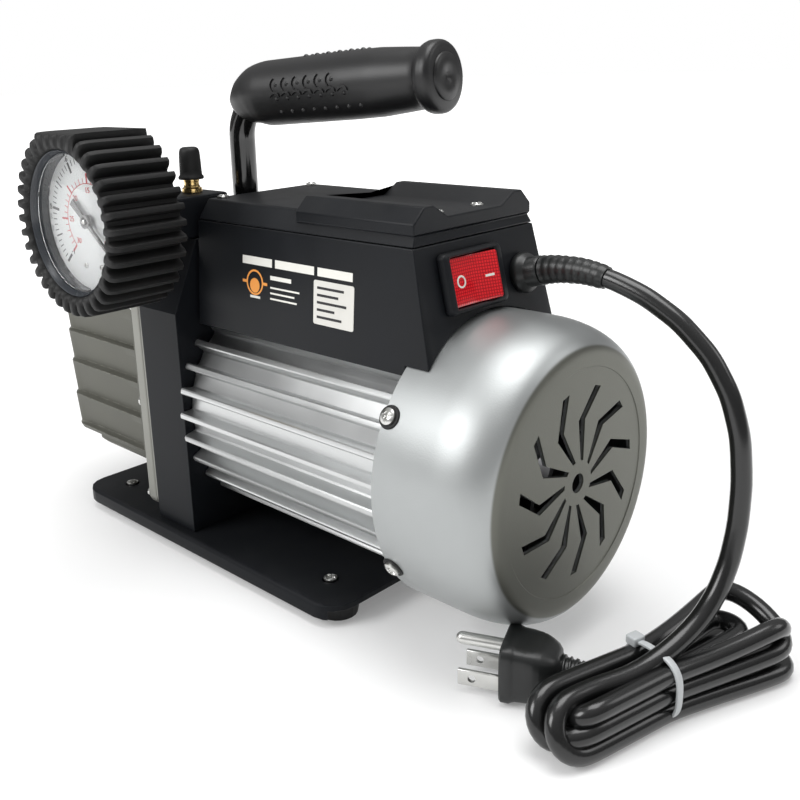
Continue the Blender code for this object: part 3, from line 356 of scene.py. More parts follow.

# %% [markdown]
# The rocker is clear red plastic with a fine grid moulded on its inside. The grid is where either of two
# sawtooth waves, one across and one up, is near its fold. It darkens the red a little.

# %% Red rocker plastic and clear glass
# The weak red emission is a painted glow: it stands for light shining through the clear plastic.
red_plastic = finish("red rocker plastic", (0.80, 0.012, 0.02), 0.16, bump=0.0, tone=0.05, Coat_Weight=0.6,
                     Coat_Roughness=0.05, Transmission_Weight=0.12, Emission_Color=(0.9, 0.01, 0.02, 1),
                     Emission_Strength=0.04)
tree = red_plastic.node_tree
GRID_PITCH, GRID_LINE = 0.00115, 0.13  # metres, and a line's half width as a share of the pitch
split = add_node(tree, "SeparateXYZ", {0: object_place(tree)})
waves = [math_node(tree, "PINGPONG", split.outputs[way], GRID_PITCH / 2) for way in ("Y", "Z")]
folds = [math_node(tree, "COMPARE", wave, 0.0, GRID_PITCH * GRID_LINE) for wave in waves]
lattice = math_node(tree, "MAXIMUM", *folds)
lit = tree.nodes["Principled BSDF"].inputs["Base Color"].links[0].from_socket
darker = blend(tree, lattice, lit, (0.34, 0.0, 0.006, 1))
tree.links.new(darker, tree.nodes["Principled BSDF"].inputs["Base Color"])

glass = bpy.data.materials.new("clear glass")
glass.use_nodes = True
clear = {"Transmission Weight": 1.0, "Roughness": 0.02, "IOR": 1.3, "Base Color": (1, 1, 1, 1)}
for socket, value in clear.items():
    glass.node_tree.nodes["Principled BSDF"].inputs[socket].default_value = value
print("grid pitch", GRID_PITCH, "m; glass", clear)

# %% [markdown]
# The floor is matt and nearly white. It glows a little more with distance, so that it meets the white
# background without a line, while the shadows near the machine stay.

# %% Floor
floor_white = finish("pale floor", (0.80, 0.80, 0.80), 0.7, per_metre=60, bump=0.0, tone=0.01,
                     Specular_IOR_Level=0.1,
                     Emission_Color=(1, 1, 1, 1))
tree = floor_white.node_tree
away = add_node(tree, "VectorMath", {0: object_place(tree)}, operation="LENGTH").outputs["Value"]
glow = add_node(tree, "MapRange", {"Value": away, 1: 0.22, 2: 1.3, 3: 0.20, 4: 0.98},
                interpolation_type="SMOOTHSTEP")
tree.links.new(glow.outputs["Result"], tree.nodes["Principled BSDF"].inputs["Emission Strength"])
floor.data.materials.append(floor_white)
print("floor has", floor_white.name)

# %% [markdown]
# ## Surfaces from numbers
# Most new pieces are grids of points. Each row is one step along a profile or a path and each column one step
# across it, so the whole piece is a single array. Quads join neighbouring points.
# Points that fall together, as at a pole, are merged, and the faces are turned outwards.

# %% Grid and mesh helpers
def grid_faces(rows, columns, close_rows=False, close_columns=True):
    """Quads (r, c), (r, c+1), (r+1, c+1), (r+1, c). A closed direction joins its last line to its first."""
    r = np.arange(rows if close_rows else rows - 1)[:, None]
    c = np.arange(columns if close_columns else columns - 1)[None, :]
    r2, c2 = (r + 1) % rows, (c + 1) % columns
    return np.stack([r * columns + c, r * columns + c2, r2 * columns + c2, r2 * columns + c], -1).reshape(-1, 4)


def capped_faces(rows, columns):
    """Quads of a grid whose columns close, and one flat face over its first row and one over its last."""
    last = (rows - 1) * columns
    lids = [tuple(range(columns))[::-1], tuple(range(last, last + columns))]
    return [tuple(face) for face in grid_faces(rows, columns)] + lids


def join_shapes(shapes):
    """One shape of several: points put end to end, each face's numbers moved on by the points before it."""
    starts = np.cumsum([0] + [len(points) for points, _ in shapes])
    points = np.concatenate([points for points, _ in shapes])
    faces = [tuple(int(i) + int(start) for i in face)
             for (_, own_faces), start in zip(shapes, starts) for face in own_faces]
    return points, faces


def basis(out, up=(0, 0, 1)):
    """Matrix with columns right, up, out, for a piece drawn with its axis along its own z."""
    out = np.array(out, float) / np.linalg.norm(out)
    right = np.cross(up, out)
    right /= np.linalg.norm(right)
    return np.stack([right, np.cross(out, right), out], axis=1)


def lathe(profile, spot=(0, 0, 0), out=(0, 0, 1), turns=64, up=(0, 0, 1)):
    """Profile of (radius, height) carried round the axis: x = r cos t, y = r sin t, z = height."""
    profile = np.array(profile, float)
    t = np.linspace(0, 2 * pi, turns, endpoint=False)
    radius, height = profile[:, :1], profile[:, 1:]
    local = np.stack([radius * np.cos(t), radius * np.sin(t), height + 0 * t], -1).reshape(-1, 3)
    if abs(np.dot(out, up)) > 0.99:
        up = (0, 1, 0)
    return local @ basis(out, up).T + np.array(spot), grid_faces(len(profile), turns)


def turned_ring(profile, spot, out, turns):
    """Turned profile whose last point joins its first, as for a ring with a hole."""
    points, _ = lathe(profile, spot, out, turns)
    return points, grid_faces(len(profile), turns, close_rows=True)


def clean_mesh(name, shape):
    """Mesh of a shape: points that fall together are merged and the faces are turned outwards."""
    points, faces = shape
    mesh = bpy.data.meshes.new(name)
    mesh.from_pydata(np.reshape(points, (-1, 3)).tolist(), [], [tuple(int(i) for i in face) for face in faces])
    work = bmesh.new()
    work.from_mesh(mesh)
    bmesh.ops.remove_doubles(work, verts=work.verts, dist=2e-6)
    bmesh.ops.recalc_face_normals(work, faces=work.faces)
    work.to_mesh(mesh)
    work.free()
    return mesh


def shade(mesh, angle):
    """Smooth faces, with sharp edges where they turn by more than the angle in degrees."""
    mesh.polygons.foreach_set("use_smooth", [True] * len(mesh.polygons))
    mesh.set_sharp_from_angle(angle=radians(angle))


def skin(name, shape, material, body="pump", stands_for=(), sharp=38):
    """New piece: its mesh and finish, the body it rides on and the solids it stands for."""
    made = new_object(name, clean_mesh(name, shape))
    made.data.materials.append(material)
    shade(made.data, sharp)
    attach(made, body)
    if stands_for:
        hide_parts(*stands_for)
    return made


def soften(made, width, segments=2, angle=35):
    """Bevel on every edge sharper than the angle."""
    rounding = made.modifiers.new("rounding", "BEVEL")
    rounding.width, rounding.segments = width, segments
    rounding.limit_method, rounding.angle_limit = "ANGLE", radians(angle)
    rounding.harden_normals = False
    rounding.use_clamp_overlap = True


print("a grid of 3 rows and 4 closed columns has", len(grid_faces(3, 4)), "faces")

# %% [markdown]
# ## The power cord
# The cord leaves the gland level, hangs down behind the fan cover and ends in a short hank of four loops.
# It is one curve from the gland to the plug. Its middle line is made of straight legs that are cut into
# millimetre steps. Each step is then averaged with its neighbours, which rounds every corner as a stiff
# cord would.

# %% The free run, down to the hank
CORD_RADIUS = 0.00365
SHIFT = np.array((0.0339, shaft[1], 0.0))  # from a frame with the shaft on y = 0
GLAND_FOOT = np.array((0.06932, 0.0235, 0.1410)) + SHIFT
GLAND_OUT = np.array((0.9747, 0, 0.2233))
free_run = SHIFT + np.array([
    (0.0980, 0.0237, 0.1452), (0.1100, 0.0240, 0.1432), (0.1230, 0.0246, 0.1388), (0.1365, 0.0252, 0.1312),
    (0.1485, 0.0255, 0.1205), (0.1568, 0.0252, 0.1080), (0.1618, 0.0245, 0.0940), (0.1642, 0.0232, 0.0780),
    (0.1649, 0.0212, 0.0630), (0.1645, 0.0178, 0.0500), (0.1633, 0.0125, 0.0395), (0.1615, 0.0055, 0.0318),
    (0.1592, -0.0030, 0.0266), (0.1568, -0.0115, 0.0232), (0.1544, -0.0190, 0.0210), (0.1520, -0.0275, 0.0200),
])
start = np.array([GLAND_FOOT + GLAND_OUT * reach for reach in (0.0105, 0.0163)])
print("free run", len(free_run), "points, down to", free_run[:, 2].min(), "m")

# %% Strands and folds of the hank
HANK_START = np.array((0.1440, -0.0500, 0)) + SHIFT
HANK_AXIS = np.array((0.2508, 0.9680, 0))
HANK_SIDE = np.array((-0.9680, 0.2508, 0))
STRANDS = {  # side offset and height of each strand at the tie
    "top": (0.0, 0.0196), "top_left": (0.0074, 0.0190), "top_right": (-0.0074, 0.0186),
    "middle": (0.0, 0.0117), "left": (0.0074, 0.0113), "right": (-0.0074, 0.0112),
    "low": (0.0, 0.0038), "low_left": (0.0074, 0.0038), "low_right": (-0.0074, 0.0038),
}
TIE_REACH, FAR_REACH = 0.038, 0.0870
FAR_SPREAD, NEAR_SPREAD = 0.95, 0.16  # how much wider than at the tie
FAR_LIFT, LIFT_FROM, LIFT_OVER = 0.0058, 0.006, 0.013  # upper strands rise towards the far end


def in_hank(reach, side, height):
    """Point of the hank: reach along it, side across it and spread out beyond the tie, height above the floor."""
    beyond = np.clip((reach - TIE_REACH) / (FAR_REACH - TIE_REACH), 0, 1)
    spread = 1 + FAR_SPREAD * beyond ** 1.2
    height = height + FAR_LIFT * beyond ** 2 * np.clip((height - LIFT_FROM) / LIFT_OVER, 0, 1)
    spread = spread + NEAR_SPREAD * np.clip((TIE_REACH - reach) / TIE_REACH, 0, 1)
    return HANK_START + HANK_AXIS * reach + HANK_SIDE * side * spread + np.array((0, 0, height))


def fold(reach, first, second, outwards):
    """Half turn between two strands: cos t moves across from one to the other, sin t moves out to the end."""
    first, second = np.array(STRANDS[first]), np.array(STRANDS[second])
    radius = np.linalg.norm(first - second) / 2
    return [
        in_hank(reach - outwards * radius * (1 - sin(t)), *(first + (second - first) * (1 - cos(t)) / 2))
        for t in np.linspace(0, pi, 9)
    ]


def leg(name, onwards):
    """Points of one strand between its folds, drawn in at the tie; onwards is away from the plug's end."""
    reaches = (0.010, 0.020, 0.030, 0.038, 0.046, 0.056, 0.066, 0.075)
    points = [in_hank(reach, *STRANDS[name]) for reach in reaches]
    return points if onwards else points[::-1]


hank = [in_hank(0.010, *STRANDS["top"])]
for near, far in (  # two strands joined at the plug's end, two joined at the far end
    ((-0.0105, "top", "low_right"), (0.0985, "low_right", "low_left")),
    ((-0.0080, "low_left", "right"), (0.0965, "right", "top_left")),
    ((-0.0110, "top_left", "low"), (0.0930, "low", "top_right")),
    ((-0.0020, "top_right", "middle"), (0.0880, "middle", "left")),
):
    hank += fold(*near, -1) + leg(near[2], True) + fold(*far, 1)
    hank += leg(far[2], False) if far[2] != "left" else []
print("hank", len(hank), "points")

# %% The tail into the plug, and the whole middle line
PLUG_FACE = np.array((0.1085, -0.0380, 0.0118)) + SHIFT
PLUG_OUT = np.array((cos(radians(24)), sin(radians(24)), 0))
RELIEF_END = 0.0303
tail = [
    in_hank(0.0680, 0.0078, 0.0112), in_hank(0.0560, 0.0084, 0.0112), in_hank(0.0470, 0.0100, 0.0114),
    PLUG_FACE + PLUG_OUT * (RELIEF_END + 0.006), PLUG_FACE + PLUG_OUT * (RELIEF_END - 0.004),
    PLUG_FACE + PLUG_OUT * 0.016,
]


def even_steps(points, step):
    """Points a step apart along a polyline, worked out from the running length."""
    points = np.array(points)
    run = np.concatenate([[0], np.cumsum(np.linalg.norm(np.diff(points, axis=0), axis=1))])
    wanted = np.linspace(0, run[-1], int(round(run[-1] / step)) + 1)
    return np.stack([np.interp(wanted, run, points[:, axis]) for axis in range(3)], axis=1)


def rounded_path(points, blur, step=0.001):
    """Each point averaged with its neighbours by a bell curve; the ends run straight on before that."""
    path = even_steps(points, step)
    reach = int(4 * blur / step)
    before = path[0] - np.arange(reach, 0, -1)[:, None] * (path[1] - path[0])
    after = path[-1] + np.arange(1, reach + 1)[:, None] * (path[-1] - path[-2])
    bell = np.exp(-0.5 * (np.arange(-reach, reach + 1) * step / blur) ** 2)
    long_path = np.concatenate([before, path, after])
    smooth = np.stack([np.convolve(long_path[:, axis], bell / bell.sum(), "valid") for axis in range(3)], axis=1)
    return even_steps(smooth, step)


CORNER_BLUR = 0.0032
cord_path = rounded_path(np.concatenate([start, free_run, hank, tail]), CORNER_BLUR)

# %% [markdown]
# A round section is carried along that line. At each step two directions across the line are needed. They
# are turned on from step to step without twist: what is left of the last one, once its part along the line
# is taken away.

# %% Carry a section along a path
def path_frames(path, first_side=(0, 1, 0.01)):
    """Two unit vectors across the path at every point, carried on without twist."""
    along = np.gradient(path, axis=0)
    along /= np.linalg.norm(along, axis=1)[:, None]
    side = np.array(first_side, float)
    sides = []
    for direction in along:
        side = side - direction * np.dot(side, direction)
        side = side / np.linalg.norm(side)
        sides.append(side)
    sides = np.array(sides)
    return sides, np.cross(along, sides)


def tube(path, radius, turns=16, first_side=(0, 1, 0.01)):
    """Circle carried along the path; radius is one number or one for each point. Both ends close in a cap."""
    path = np.array(path)
    sides, ups = path_frames(path, first_side)
    radius = np.broadcast_to(radius, len(path))[:, None, None]
    t = np.linspace(0, 2 * pi, turns, endpoint=False)[None, :, None]
    points = path[:, None] + radius * (np.cos(t) * sides[:, None] + np.sin(t) * ups[:, None])
    first, last = (np.broadcast_to(path[end], (1, turns, 3)) for end in (0, -1))
    points = np.concatenate([first, points, last])
    return points.reshape(-1, 3), grid_faces(len(points), turns)


SECTION_STEP = 0.002
coarse_path = even_steps(cord_path, SECTION_STEP)
cord = skin("mains_cord", tube(coarse_path, CORD_RADIUS, turns=16), sheath,
            stands_for=("power_cord", "cord_hank"), sharp=80)
print("cord", len(coarse_path), "sections,", len(cord.data.polygons), "faces")

# %% [markdown]
# The tie is a flat nylon strap round the hank with a small square head. The strap's outline is a
# superellipse, a curve between an ellipse and a rectangle, and a flat rounded section is carried round it.

# %% Cable tie
def signed_power(value, power):
    """Sign of the value times its size raised to 2 / power."""
    return np.sign(value) * np.abs(value) ** (2 / power)


def superellipse(t, power):
    """Unit curve: sign(cos t) |cos t|^(2/power) across and the same with sin t up."""
    return signed_power(np.cos(t), power), signed_power(np.sin(t), power)


TIE_HALF = np.array((0.0124, 0.0119))  # half the strap's ring across and up
TIE_MIDDLE, TIE_HEAD_HEIGHT, TIE_HEAD_SIDE = 0.0126, 0.0240, 0.0085
STRAP_THICK, STRAP_WIDE = 0.00055, 0.0014  # half of each
UP = np.array((0, 0, 1))


def tie_shape():
    """Ring: superellipse in the plane across the hank, times a section 2.8 mm wide and 1.1 mm thick."""
    turns, corners = 72, 12
    t = np.linspace(0, 2 * pi, turns, endpoint=False)
    across, up = superellipse(t, 2.9)
    thick, wide = superellipse(np.linspace(0, 2 * pi, corners, endpoint=False), 4)
    ring = (1 + STRAP_THICK * thick[:, None] / TIE_HALF.mean())
    middle = HANK_START + HANK_AXIS * TIE_REACH + np.array((0, 0, TIE_MIDDLE))
    points = (middle + HANK_SIDE * (TIE_HALF[0] * across * ring)[..., None]
              + UP * (TIE_HALF[1] * up * ring)[..., None]
              + HANK_AXIS * (STRAP_WIDE * wide[:, None] + 0 * t)[..., None])
    return points.reshape(-1, 3), grid_faces(corners, turns, close_rows=True)


def rounded_block(middle, axes, half, power=6, rows=14, turns=28):
    """Superellipsoid: a sphere whose sine and cosine are raised to 2/power, so it nears a rounded box."""
    up, t = np.linspace(-pi / 2, pi / 2, rows)[:, None], np.linspace(0, 2 * pi, turns, endpoint=False)[None]
    ring, height = superellipse(up, power)
    across, along = superellipse(t, power)
    local = np.stack([ring * across, ring * along, height + 0 * t], -1) * np.array(half)
    return (np.array(middle) + local @ np.array(axes)).reshape(-1, 3), grid_faces(rows, turns)


tie_head_at = HANK_START + HANK_AXIS * TIE_REACH + HANK_SIDE * TIE_HEAD_SIDE + np.array((0, 0, TIE_HEAD_HEIGHT))
tie_head = rounded_block(tie_head_at, (HANK_SIDE, HANK_AXIS, UP), (0.0024, 0.0027, 0.0018), 7)
cable_tie = skin("tie_strap", join_shapes([tie_shape(), tie_head]), tie_nylon, stands_for=("cord_tie",),
                 sharp=50)
print("tie", len(cable_tie.data.polygons), "faces")

# %% [markdown]
# The plug is moulded straight onto the cord: a broad front plate, a waisted grip with side ribs, and a sleeve
# that bends with the cord. Its section goes from nearly square at the front to round at the back.

# %% Plug body
PLUG_WIDE, PLUG_HIGH = 0.01175, 0.0114  # half sizes of the front plate
GROOVE_DEPTH, GROOVE_PITCH = 0.00035, 0.0022


def plug_shape():
    """Superellipse sections of a size from a table and a power from 6 to 3.6, then a grooved round sleeve."""
    reach = np.array([0, 0, 0.0007, 0.0034, 0.0046, 0.0056, 0.009, 0.0095, 0.0105, 0.011, 0.0125, 0.013, 0.0140,
                      0.0145, 0.0165, 0.0187, 0.0200, 0.0204])
    scale = np.array([0, 0.95, 1, 1, 0.96, 0.94, 0.93, 0.93, 0.92, 0.92, 0.91, 0.90, 0.89, 0.88, 0.82, 0.72, 0.60,
                      0.5])
    cone = np.linspace(0.0209, RELIEF_END - 0.0006, 22)
    grooves = GROOVE_DEPTH * np.sign(np.sin((cone - cone[0]) * 2 * pi / GROOVE_PITCH))
    t = np.linspace(0, 2 * pi, 48, endpoint=False)
    power = np.linspace(6, 3.6, len(reach))[:, None]
    across, up = superellipse(t[None], power)
    wide, high = PLUG_WIDE * scale[:, None] * across, PLUG_HIGH * scale[:, None] * up
    body = np.stack([reach[:, None] + 0 * t, wide, high], -1)
    radius = np.interp(cone, [cone[0], cone[-1]], [0.0060, 0.0044]) + grooves
    radius[-1] = 0.00355
    sleeve = np.stack([cone[:, None] + 0 * t, radius[:, None] * np.cos(t), radius[:, None] * np.sin(t)], -1)
    end = np.stack([cone[-1] + 0.0004 + 0 * t, 0 * t, 0 * t], -1)[None]
    local = np.concatenate([body, sleeve, end]).reshape(-1, 3)
    side = np.array((-PLUG_OUT[1], PLUG_OUT[0], 0))
    points = PLUG_FACE + local @ np.array([PLUG_OUT, side, (0, 0, 1)])
    return points, grid_faces(len(reach) + len(cone) + 1, 48)


plug = skin("plug_grip", plug_shape(), plug_plastic, stands_for=("plug_body",), sharp=40)

# %% [markdown]
# The gland clamps the cord where it enters the box. Its domed nut and its ribbed, tapered sleeve are one
# turned profile, and the sleeve's last part is carried along the first bend of the cord.

# %% Gland and strain relief
gland_profile = [
    (0, 0.0004), (0.0079, 0.0004), (0.0082, 0.0012), (0.0081, 0.0024), (0.0074, 0.0038), (0.0062, 0.0047),
    (0.0059, 0.0052), (0.0059, 0.0096), (0.0054, 0.0104), (0, 0.0104),
]
SLEEVE_STEPS, SLEEVE_RIBS, RIB_HEIGHT = 29, 9, 0.00028
sleeve_part = cord_path[:SLEEVE_STEPS]
sleeve_run = np.linspace(0, 1, len(sleeve_part))
sleeve_radius = 0.0056 - 0.0013 * sleeve_run + RIB_HEIGHT * (np.sin(sleeve_run * 2 * pi * SLEEVE_RIBS) > 0)
sleeve_radius[0] = 0.0050
skin("gland_sleeve", join_shapes([
    lathe(gland_profile, GLAND_FOOT, GLAND_OUT, 40), tube(sleeve_part, sleeve_radius, 28)]), plug_plastic,
    stands_for=("cord_gland",), sharp=34)
print("gland sleeve reaches", sleeve_part[-1].round(4))

# %% [markdown]
# ## Motor body
# The body is an extrusion: a ring with straight bars on it. Its outline is one fin drawn once, as distance
# to the side and distance from the shaft, then turned round the shaft 28 times. A small foot and rounded
# tip on every fin catch the light as the real ones do.

# %% Finned housing
def at(x, y, z):
    """Point given with the shaft's line on y = 0, moved to the machine's frame."""
    return np.array((x, y, z), float) + SHIFT


def polar_outline(pattern, count, start):
    """Pattern of (sideways, outwards) points turned round the shaft count times; first across is at start."""
    pattern = np.array(pattern)
    angle = (start + 2 * pi * np.arange(count) / count)[:, None]
    side, out = pattern[None, :, 0], pattern[None, :, 1]
    across = out * np.cos(angle) - side * np.sin(angle)
    up = out * np.sin(angle) + side * np.cos(angle)
    return np.stack([across, up], -1).reshape(-1, 2)


def ring_rows(rows):
    """Rows of (x, outline) put about the shaft, as points (x, y, z)."""
    points = [np.column_stack([np.full(len(edge), x), edge[:, 0], edge[:, 1] + shaft[2]]) for x, edge in rows]
    return np.concatenate(points) + SHIFT


FIN_COUNT, FIN_TIP, FIN_ROOT, BORE = 28, 0.0530, 0.0460, 0.0425
HOUSING_START, HOUSING_END, HOUSING_EDGE = -0.0647, 0.0634, 0.0005
fin = [(-0.0034, FIN_ROOT), (-0.0022, FIN_ROOT + 0.0002), (-0.00155, FIN_ROOT + 0.0010),
       (-0.0014, FIN_TIP - 0.0006),
       (-0.0009, FIN_TIP - 0.00005), (0, FIN_TIP), (0.0009, FIN_TIP - 0.00005), (0.0014, FIN_TIP - 0.0006),
       (0.00155, FIN_ROOT + 0.0010), (0.0022, FIN_ROOT + 0.0002), (0.0034, FIN_ROOT)]
outline = polar_outline(fin, FIN_COUNT, -pi / 2)
angles = np.arctan2(outline[:, 1], outline[:, 0])
bore = BORE * np.column_stack([np.cos(angles), np.sin(angles)])
small = outline * (1 - HOUSING_EDGE / 0.05)
housing_rows = [
    (HOUSING_START, bore), (HOUSING_START, small), (HOUSING_START + HOUSING_EDGE, outline),
    (HOUSING_END - HOUSING_EDGE, outline), (HOUSING_END, small), (HOUSING_END, bore),
]
skin("finned_housing", (ring_rows(housing_rows), grid_faces(len(housing_rows), len(outline), close_rows=True)),
     extruded_metal, stands_for=("motor_housing",), sharp=30)
print("fins", FIN_COUNT, "outline points", len(outline))

# %% [markdown]
# ## Fan cover
# The cover is spun sheet: a drum with an elliptical shoulder and a flat face. It is turned as a closed
# wall, and the air slots are punched out with a Boolean. Each slot is a bent blade: it leans one way from
# the hub, then turns back at a sharp knee. Its corners are given in polar coordinates. A fine bevel then
# gives every cut a bright edge.

# %% Drum and punched slots
COVER_RADIUS, COVER_START, COVER_END, WALL = 0.0600, 0.0637, 0.1132, 0.0020
SHOULDER, SHOULDER_LENGTH = 0.0118, 0.0240
LIP_EDGE, FACE_STEP, FACE_RADIUS = 0.0004, 0.0003, 0.0445


def shoulder(wall):
    """Quarter ellipse (radius, x) from the drum in to the flat face, a wall further in if asked."""
    t = np.linspace(0, pi / 2, 15)
    radius = COVER_RADIUS - SHOULDER + (SHOULDER - wall) * np.cos(t) ** 0.9
    return np.column_stack([radius, COVER_END - SHOULDER_LENGTH + (SHOULDER_LENGTH - wall) * np.sin(t)])


def cover_profile():
    """Outside: straight, quarter ellipse inwards, flat face; inside: the same line one wall further in."""
    lip = [(COVER_RADIUS - WALL, COVER_START), (COVER_RADIUS - LIP_EDGE, COVER_START),
           (COVER_RADIUS, COVER_START + LIP_EDGE)]
    face = [(FACE_RADIUS, COVER_END), (FACE_RADIUS - 0.0003, COVER_END - FACE_STEP), (0, COVER_END - FACE_STEP)]
    return np.concatenate([[(0, COVER_END - WALL)], shoulder(WALL)[::-1], lip, shoulder(0), face])


SLOT_COUNT, SHAFT_HOLE = 11, 0.0038


def cut_slots():
    """Slot sides: polar line (radius, lean) plus a half width to either side, pushed through the face."""
    through = (COVER_END - 0.006, COVER_END + 0.003)
    reach = np.array([0.0088, 0.0246, 0.0372])
    lean = np.radians([0.0, 12.5, -3.0])
    left, right = np.array([0.0009, 0.0024, 0.0021]), np.array([0.0009, 0.0019, 0.0021])
    shapes = []
    for number in range(SLOT_COUNT):
        angle = radians(75) + 2 * pi * number / SLOT_COUNT + lean
        centre = reach[:, None] * np.column_stack([np.cos(angle), np.sin(angle)])
        sideways = np.column_stack([-np.sin(angle), np.cos(angle)])
        edge = np.concatenate([centre + sideways * right[:, None], (centre - sideways * left[:, None])[::-1]])
        shapes.append((ring_rows([(x, edge) for x in through]), capped_faces(2, len(edge))))
    hole = [(0, -0.006), (SHAFT_HOLE, -0.006), (SHAFT_HOLE, 0.003), (0, 0.003)]
    shapes.append(lathe(hole, at(COVER_END, 0, shaft[2]), (1, 0, 0), 32))
    return join_shapes(shapes)


def punch(made, shape):
    """Boolean difference with a helper that is removed again, kept as a finished mesh with its sharp edges."""
    cutter = new_object("cutter", clean_mesh("cutter", shape))
    cut = made.modifiers.new("cut", "BOOLEAN")
    cut.operation, cut.solver, cut.object = "DIFFERENCE", "EXACT", cutter
    bpy.context.view_layer.update()
    result = bpy.data.meshes.new_from_object(made.evaluated_get(bpy.context.evaluated_depsgraph_get()))
    made.modifiers.clear()
    made.data = result
    bpy.data.objects.remove(cutter)
    shade(result, 30)


cover = skin("spun_cover", lathe(cover_profile(), at(0, 0, shaft[2]), (1, 0, 0), 128), silver_paint,
             stands_for=("fan_cover",), sharp=30)
punch(cover, cut_slots())
soften(cover, 0.00025, 1, 50)
print("cover faces", len(cover.data.polygons))

# %% [markdown]
# The flat face of the cover has the same paint as its side and looks away from the lamps, so its shade is
# painted. A mask on the distance along X starts just over a millimetre before the face, and it mixes a darker
# grey into the paint there.

# %% Painted shade on the cover's face
SHADE_FROM, SHADE_FULL = 0.0014, 0.0007  # metres before the face
tree = silver_paint.node_tree
along = add_node(tree, "SeparateXYZ", {0: object_place(tree)}).outputs["X"]
face_plane = at(COVER_END, 0, 0)[0]
painted_face_shade = add_node(tree, "MapRange", {"Value": along, 1: face_plane - SHADE_FROM, 2: face_plane - SHADE_FULL},
                interpolation_type="SMOOTHSTEP").outputs["Result"]
sprayed = tree.nodes["Principled BSDF"].inputs["Base Color"].links[0].from_socket
# Painted shade: this darker grey stands for the shade on the face, which has the same paint as the side.
shaded_paint = blend(tree, painted_face_shade, sprayed, (0.150, 0.152, 0.132, 1))
tree.links.new(shaded_paint, tree.nodes["Principled BSDF"].inputs["Base Color"])
print("dull beyond x =", round(float(face_plane) - SHADE_FROM, 4))

# %% [markdown]
# ## Screws
# Small pan heads hold the covers. A screw head is a polar grid: a low dome, less a cross of two troughs. The
# depth of the cross is a smooth step of the distance to either arm, so one formula gives head and slot.

# %% Cross-recessed screw head
def screw(spot, out, radius=0.0030, height=0.0016, washer=0.0, turn=0.4):
    """Height over a polar grid: dome height (1 - 0.5 r^2.6) less the cross; then a rim, and a washer if asked."""
    r = np.linspace(0, 1, 9)[::-1][:, None]
    t = np.linspace(0, 2 * pi, 32, endpoint=False)[None]
    x, y = r * np.cos(t + turn), r * np.sin(t + turn)
    wide, long = 0.15, 0.62  # an arm of the cross, as shares of the radius
    arm = np.minimum(np.maximum(np.abs(x) / wide, np.abs(y) / long),
                     np.maximum(np.abs(y) / wide, np.abs(x) / long))
    depth = np.clip((1.25 - arm) / 0.5, 0, 1)
    top = height * (1 - 0.50 * r**2.6) - depth * height * 0.75
    head = np.stack([radius * r * np.cos(t), radius * r * np.sin(t), top], -1)
    rim = np.stack([radius * np.cos(t), radius * np.sin(t), 0 * t - 0.0003], -1)
    foot = np.stack([0 * t, 0 * t, 0 * t - 0.0003], -1)
    local = np.concatenate([foot, rim, head]).reshape(-1, 3)
    up = (0, 0, 1) if abs(out[2]) < 0.9 else (0, 1, 0)
    shapes = [(local @ basis(out, up).T + np.array(spot), grid_faces(11, 32))]
    if washer:
        ring = [(0, -0.0009), (washer, -0.0009), (washer, -0.0002), (washer - 0.0003, 0), (0, 0)]
        shapes.append(lathe(ring, spot, out, 32, up))
    return join_shapes(shapes)


SCREW_LINE = 0.0668  # where the cover's screws stand along the shaft
WASHER = [(0, -0.0012), (0.0043, -0.0012), (0.0046, -0.0006), (0.0043, -0.0001), (0, 0)]
cover_screws, cover_washers = [], []
for side in (150, 30, -30, -150):
    out = np.array((0, cos(radians(side)), sin(radians(side))))
    spot = at(SCREW_LINE, 0, shaft[2]) + out * (COVER_RADIUS + 0.0007)
    cover_screws.append(screw(spot, out, 0.0032, 0.0018, turn=0.7 + side))
    cover_washers.append(lathe(WASHER, spot, out, 32, (1, 0, 0)))
skin("cover_screw_heads", join_shapes(cover_screws), zinc, sharp=30)
skin("cover_screw_washers", join_shapes(cover_washers), rubber)
print("cover screws", len(cover_screws))

# %% [markdown]
# ## Castings and sheet parts whose solids are right
# The head, the base, the box and its lid keep their solids' shape. A copy of each solid is merged and its
# flat faces joined, and a bevel rounds the edges. That is all that a painted casting or a moulded box
# needs.

# %% Rounded copies
def rounded_copy(node, name, material, width, segments, angle=35):
    """Copy of a solid with merged points, flat faces joined and beveled edges, in the solid's place."""
    mesh = bpy.data.objects[node].data.copy()
    mesh.materials.clear()
    work = bmesh.new()
    work.from_mesh(mesh)
    bmesh.ops.remove_doubles(work, verts=work.verts, dist=2e-6)
    bmesh.ops.dissolve_limit(work, angle_limit=radians(1.5), verts=work.verts, edges=work.edges)
    work.to_mesh(mesh)
    work.free()
    made = new_object(name, mesh)
    made.data.materials.append(material)
    shade(mesh, angle)
    soften(made, width, segments, angle)
    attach(made, "pump")
    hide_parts(node)
    print(name, len(mesh.polygons), "faces")
    return made


rounded_copy("pump_head", "head_casting", black_paint, 0.0013, 3)
rounded_copy("base_plate", "base_sheet", black_paint, 0.0008, 3)
rounded_copy("terminal_box", "box_shell", box_plastic, 0.0010, 3)
rounded_copy("box_lid", "box_cover", box_plastic, 0.0009, 3)
rounded_copy("handle_collar", "post_collar", black_paint, 0.0007, 2)
rounded_copy("intake_block", "intake_casting", black_paint, 0.0012, 3)

# %% [markdown]
# The two blades of the plug each have a round hole near the tip, which a socket's springs can snap into.
# The ground pin ends in a dome. Blades are rounded copies with the hole punched across them, and the pin is
# turned.

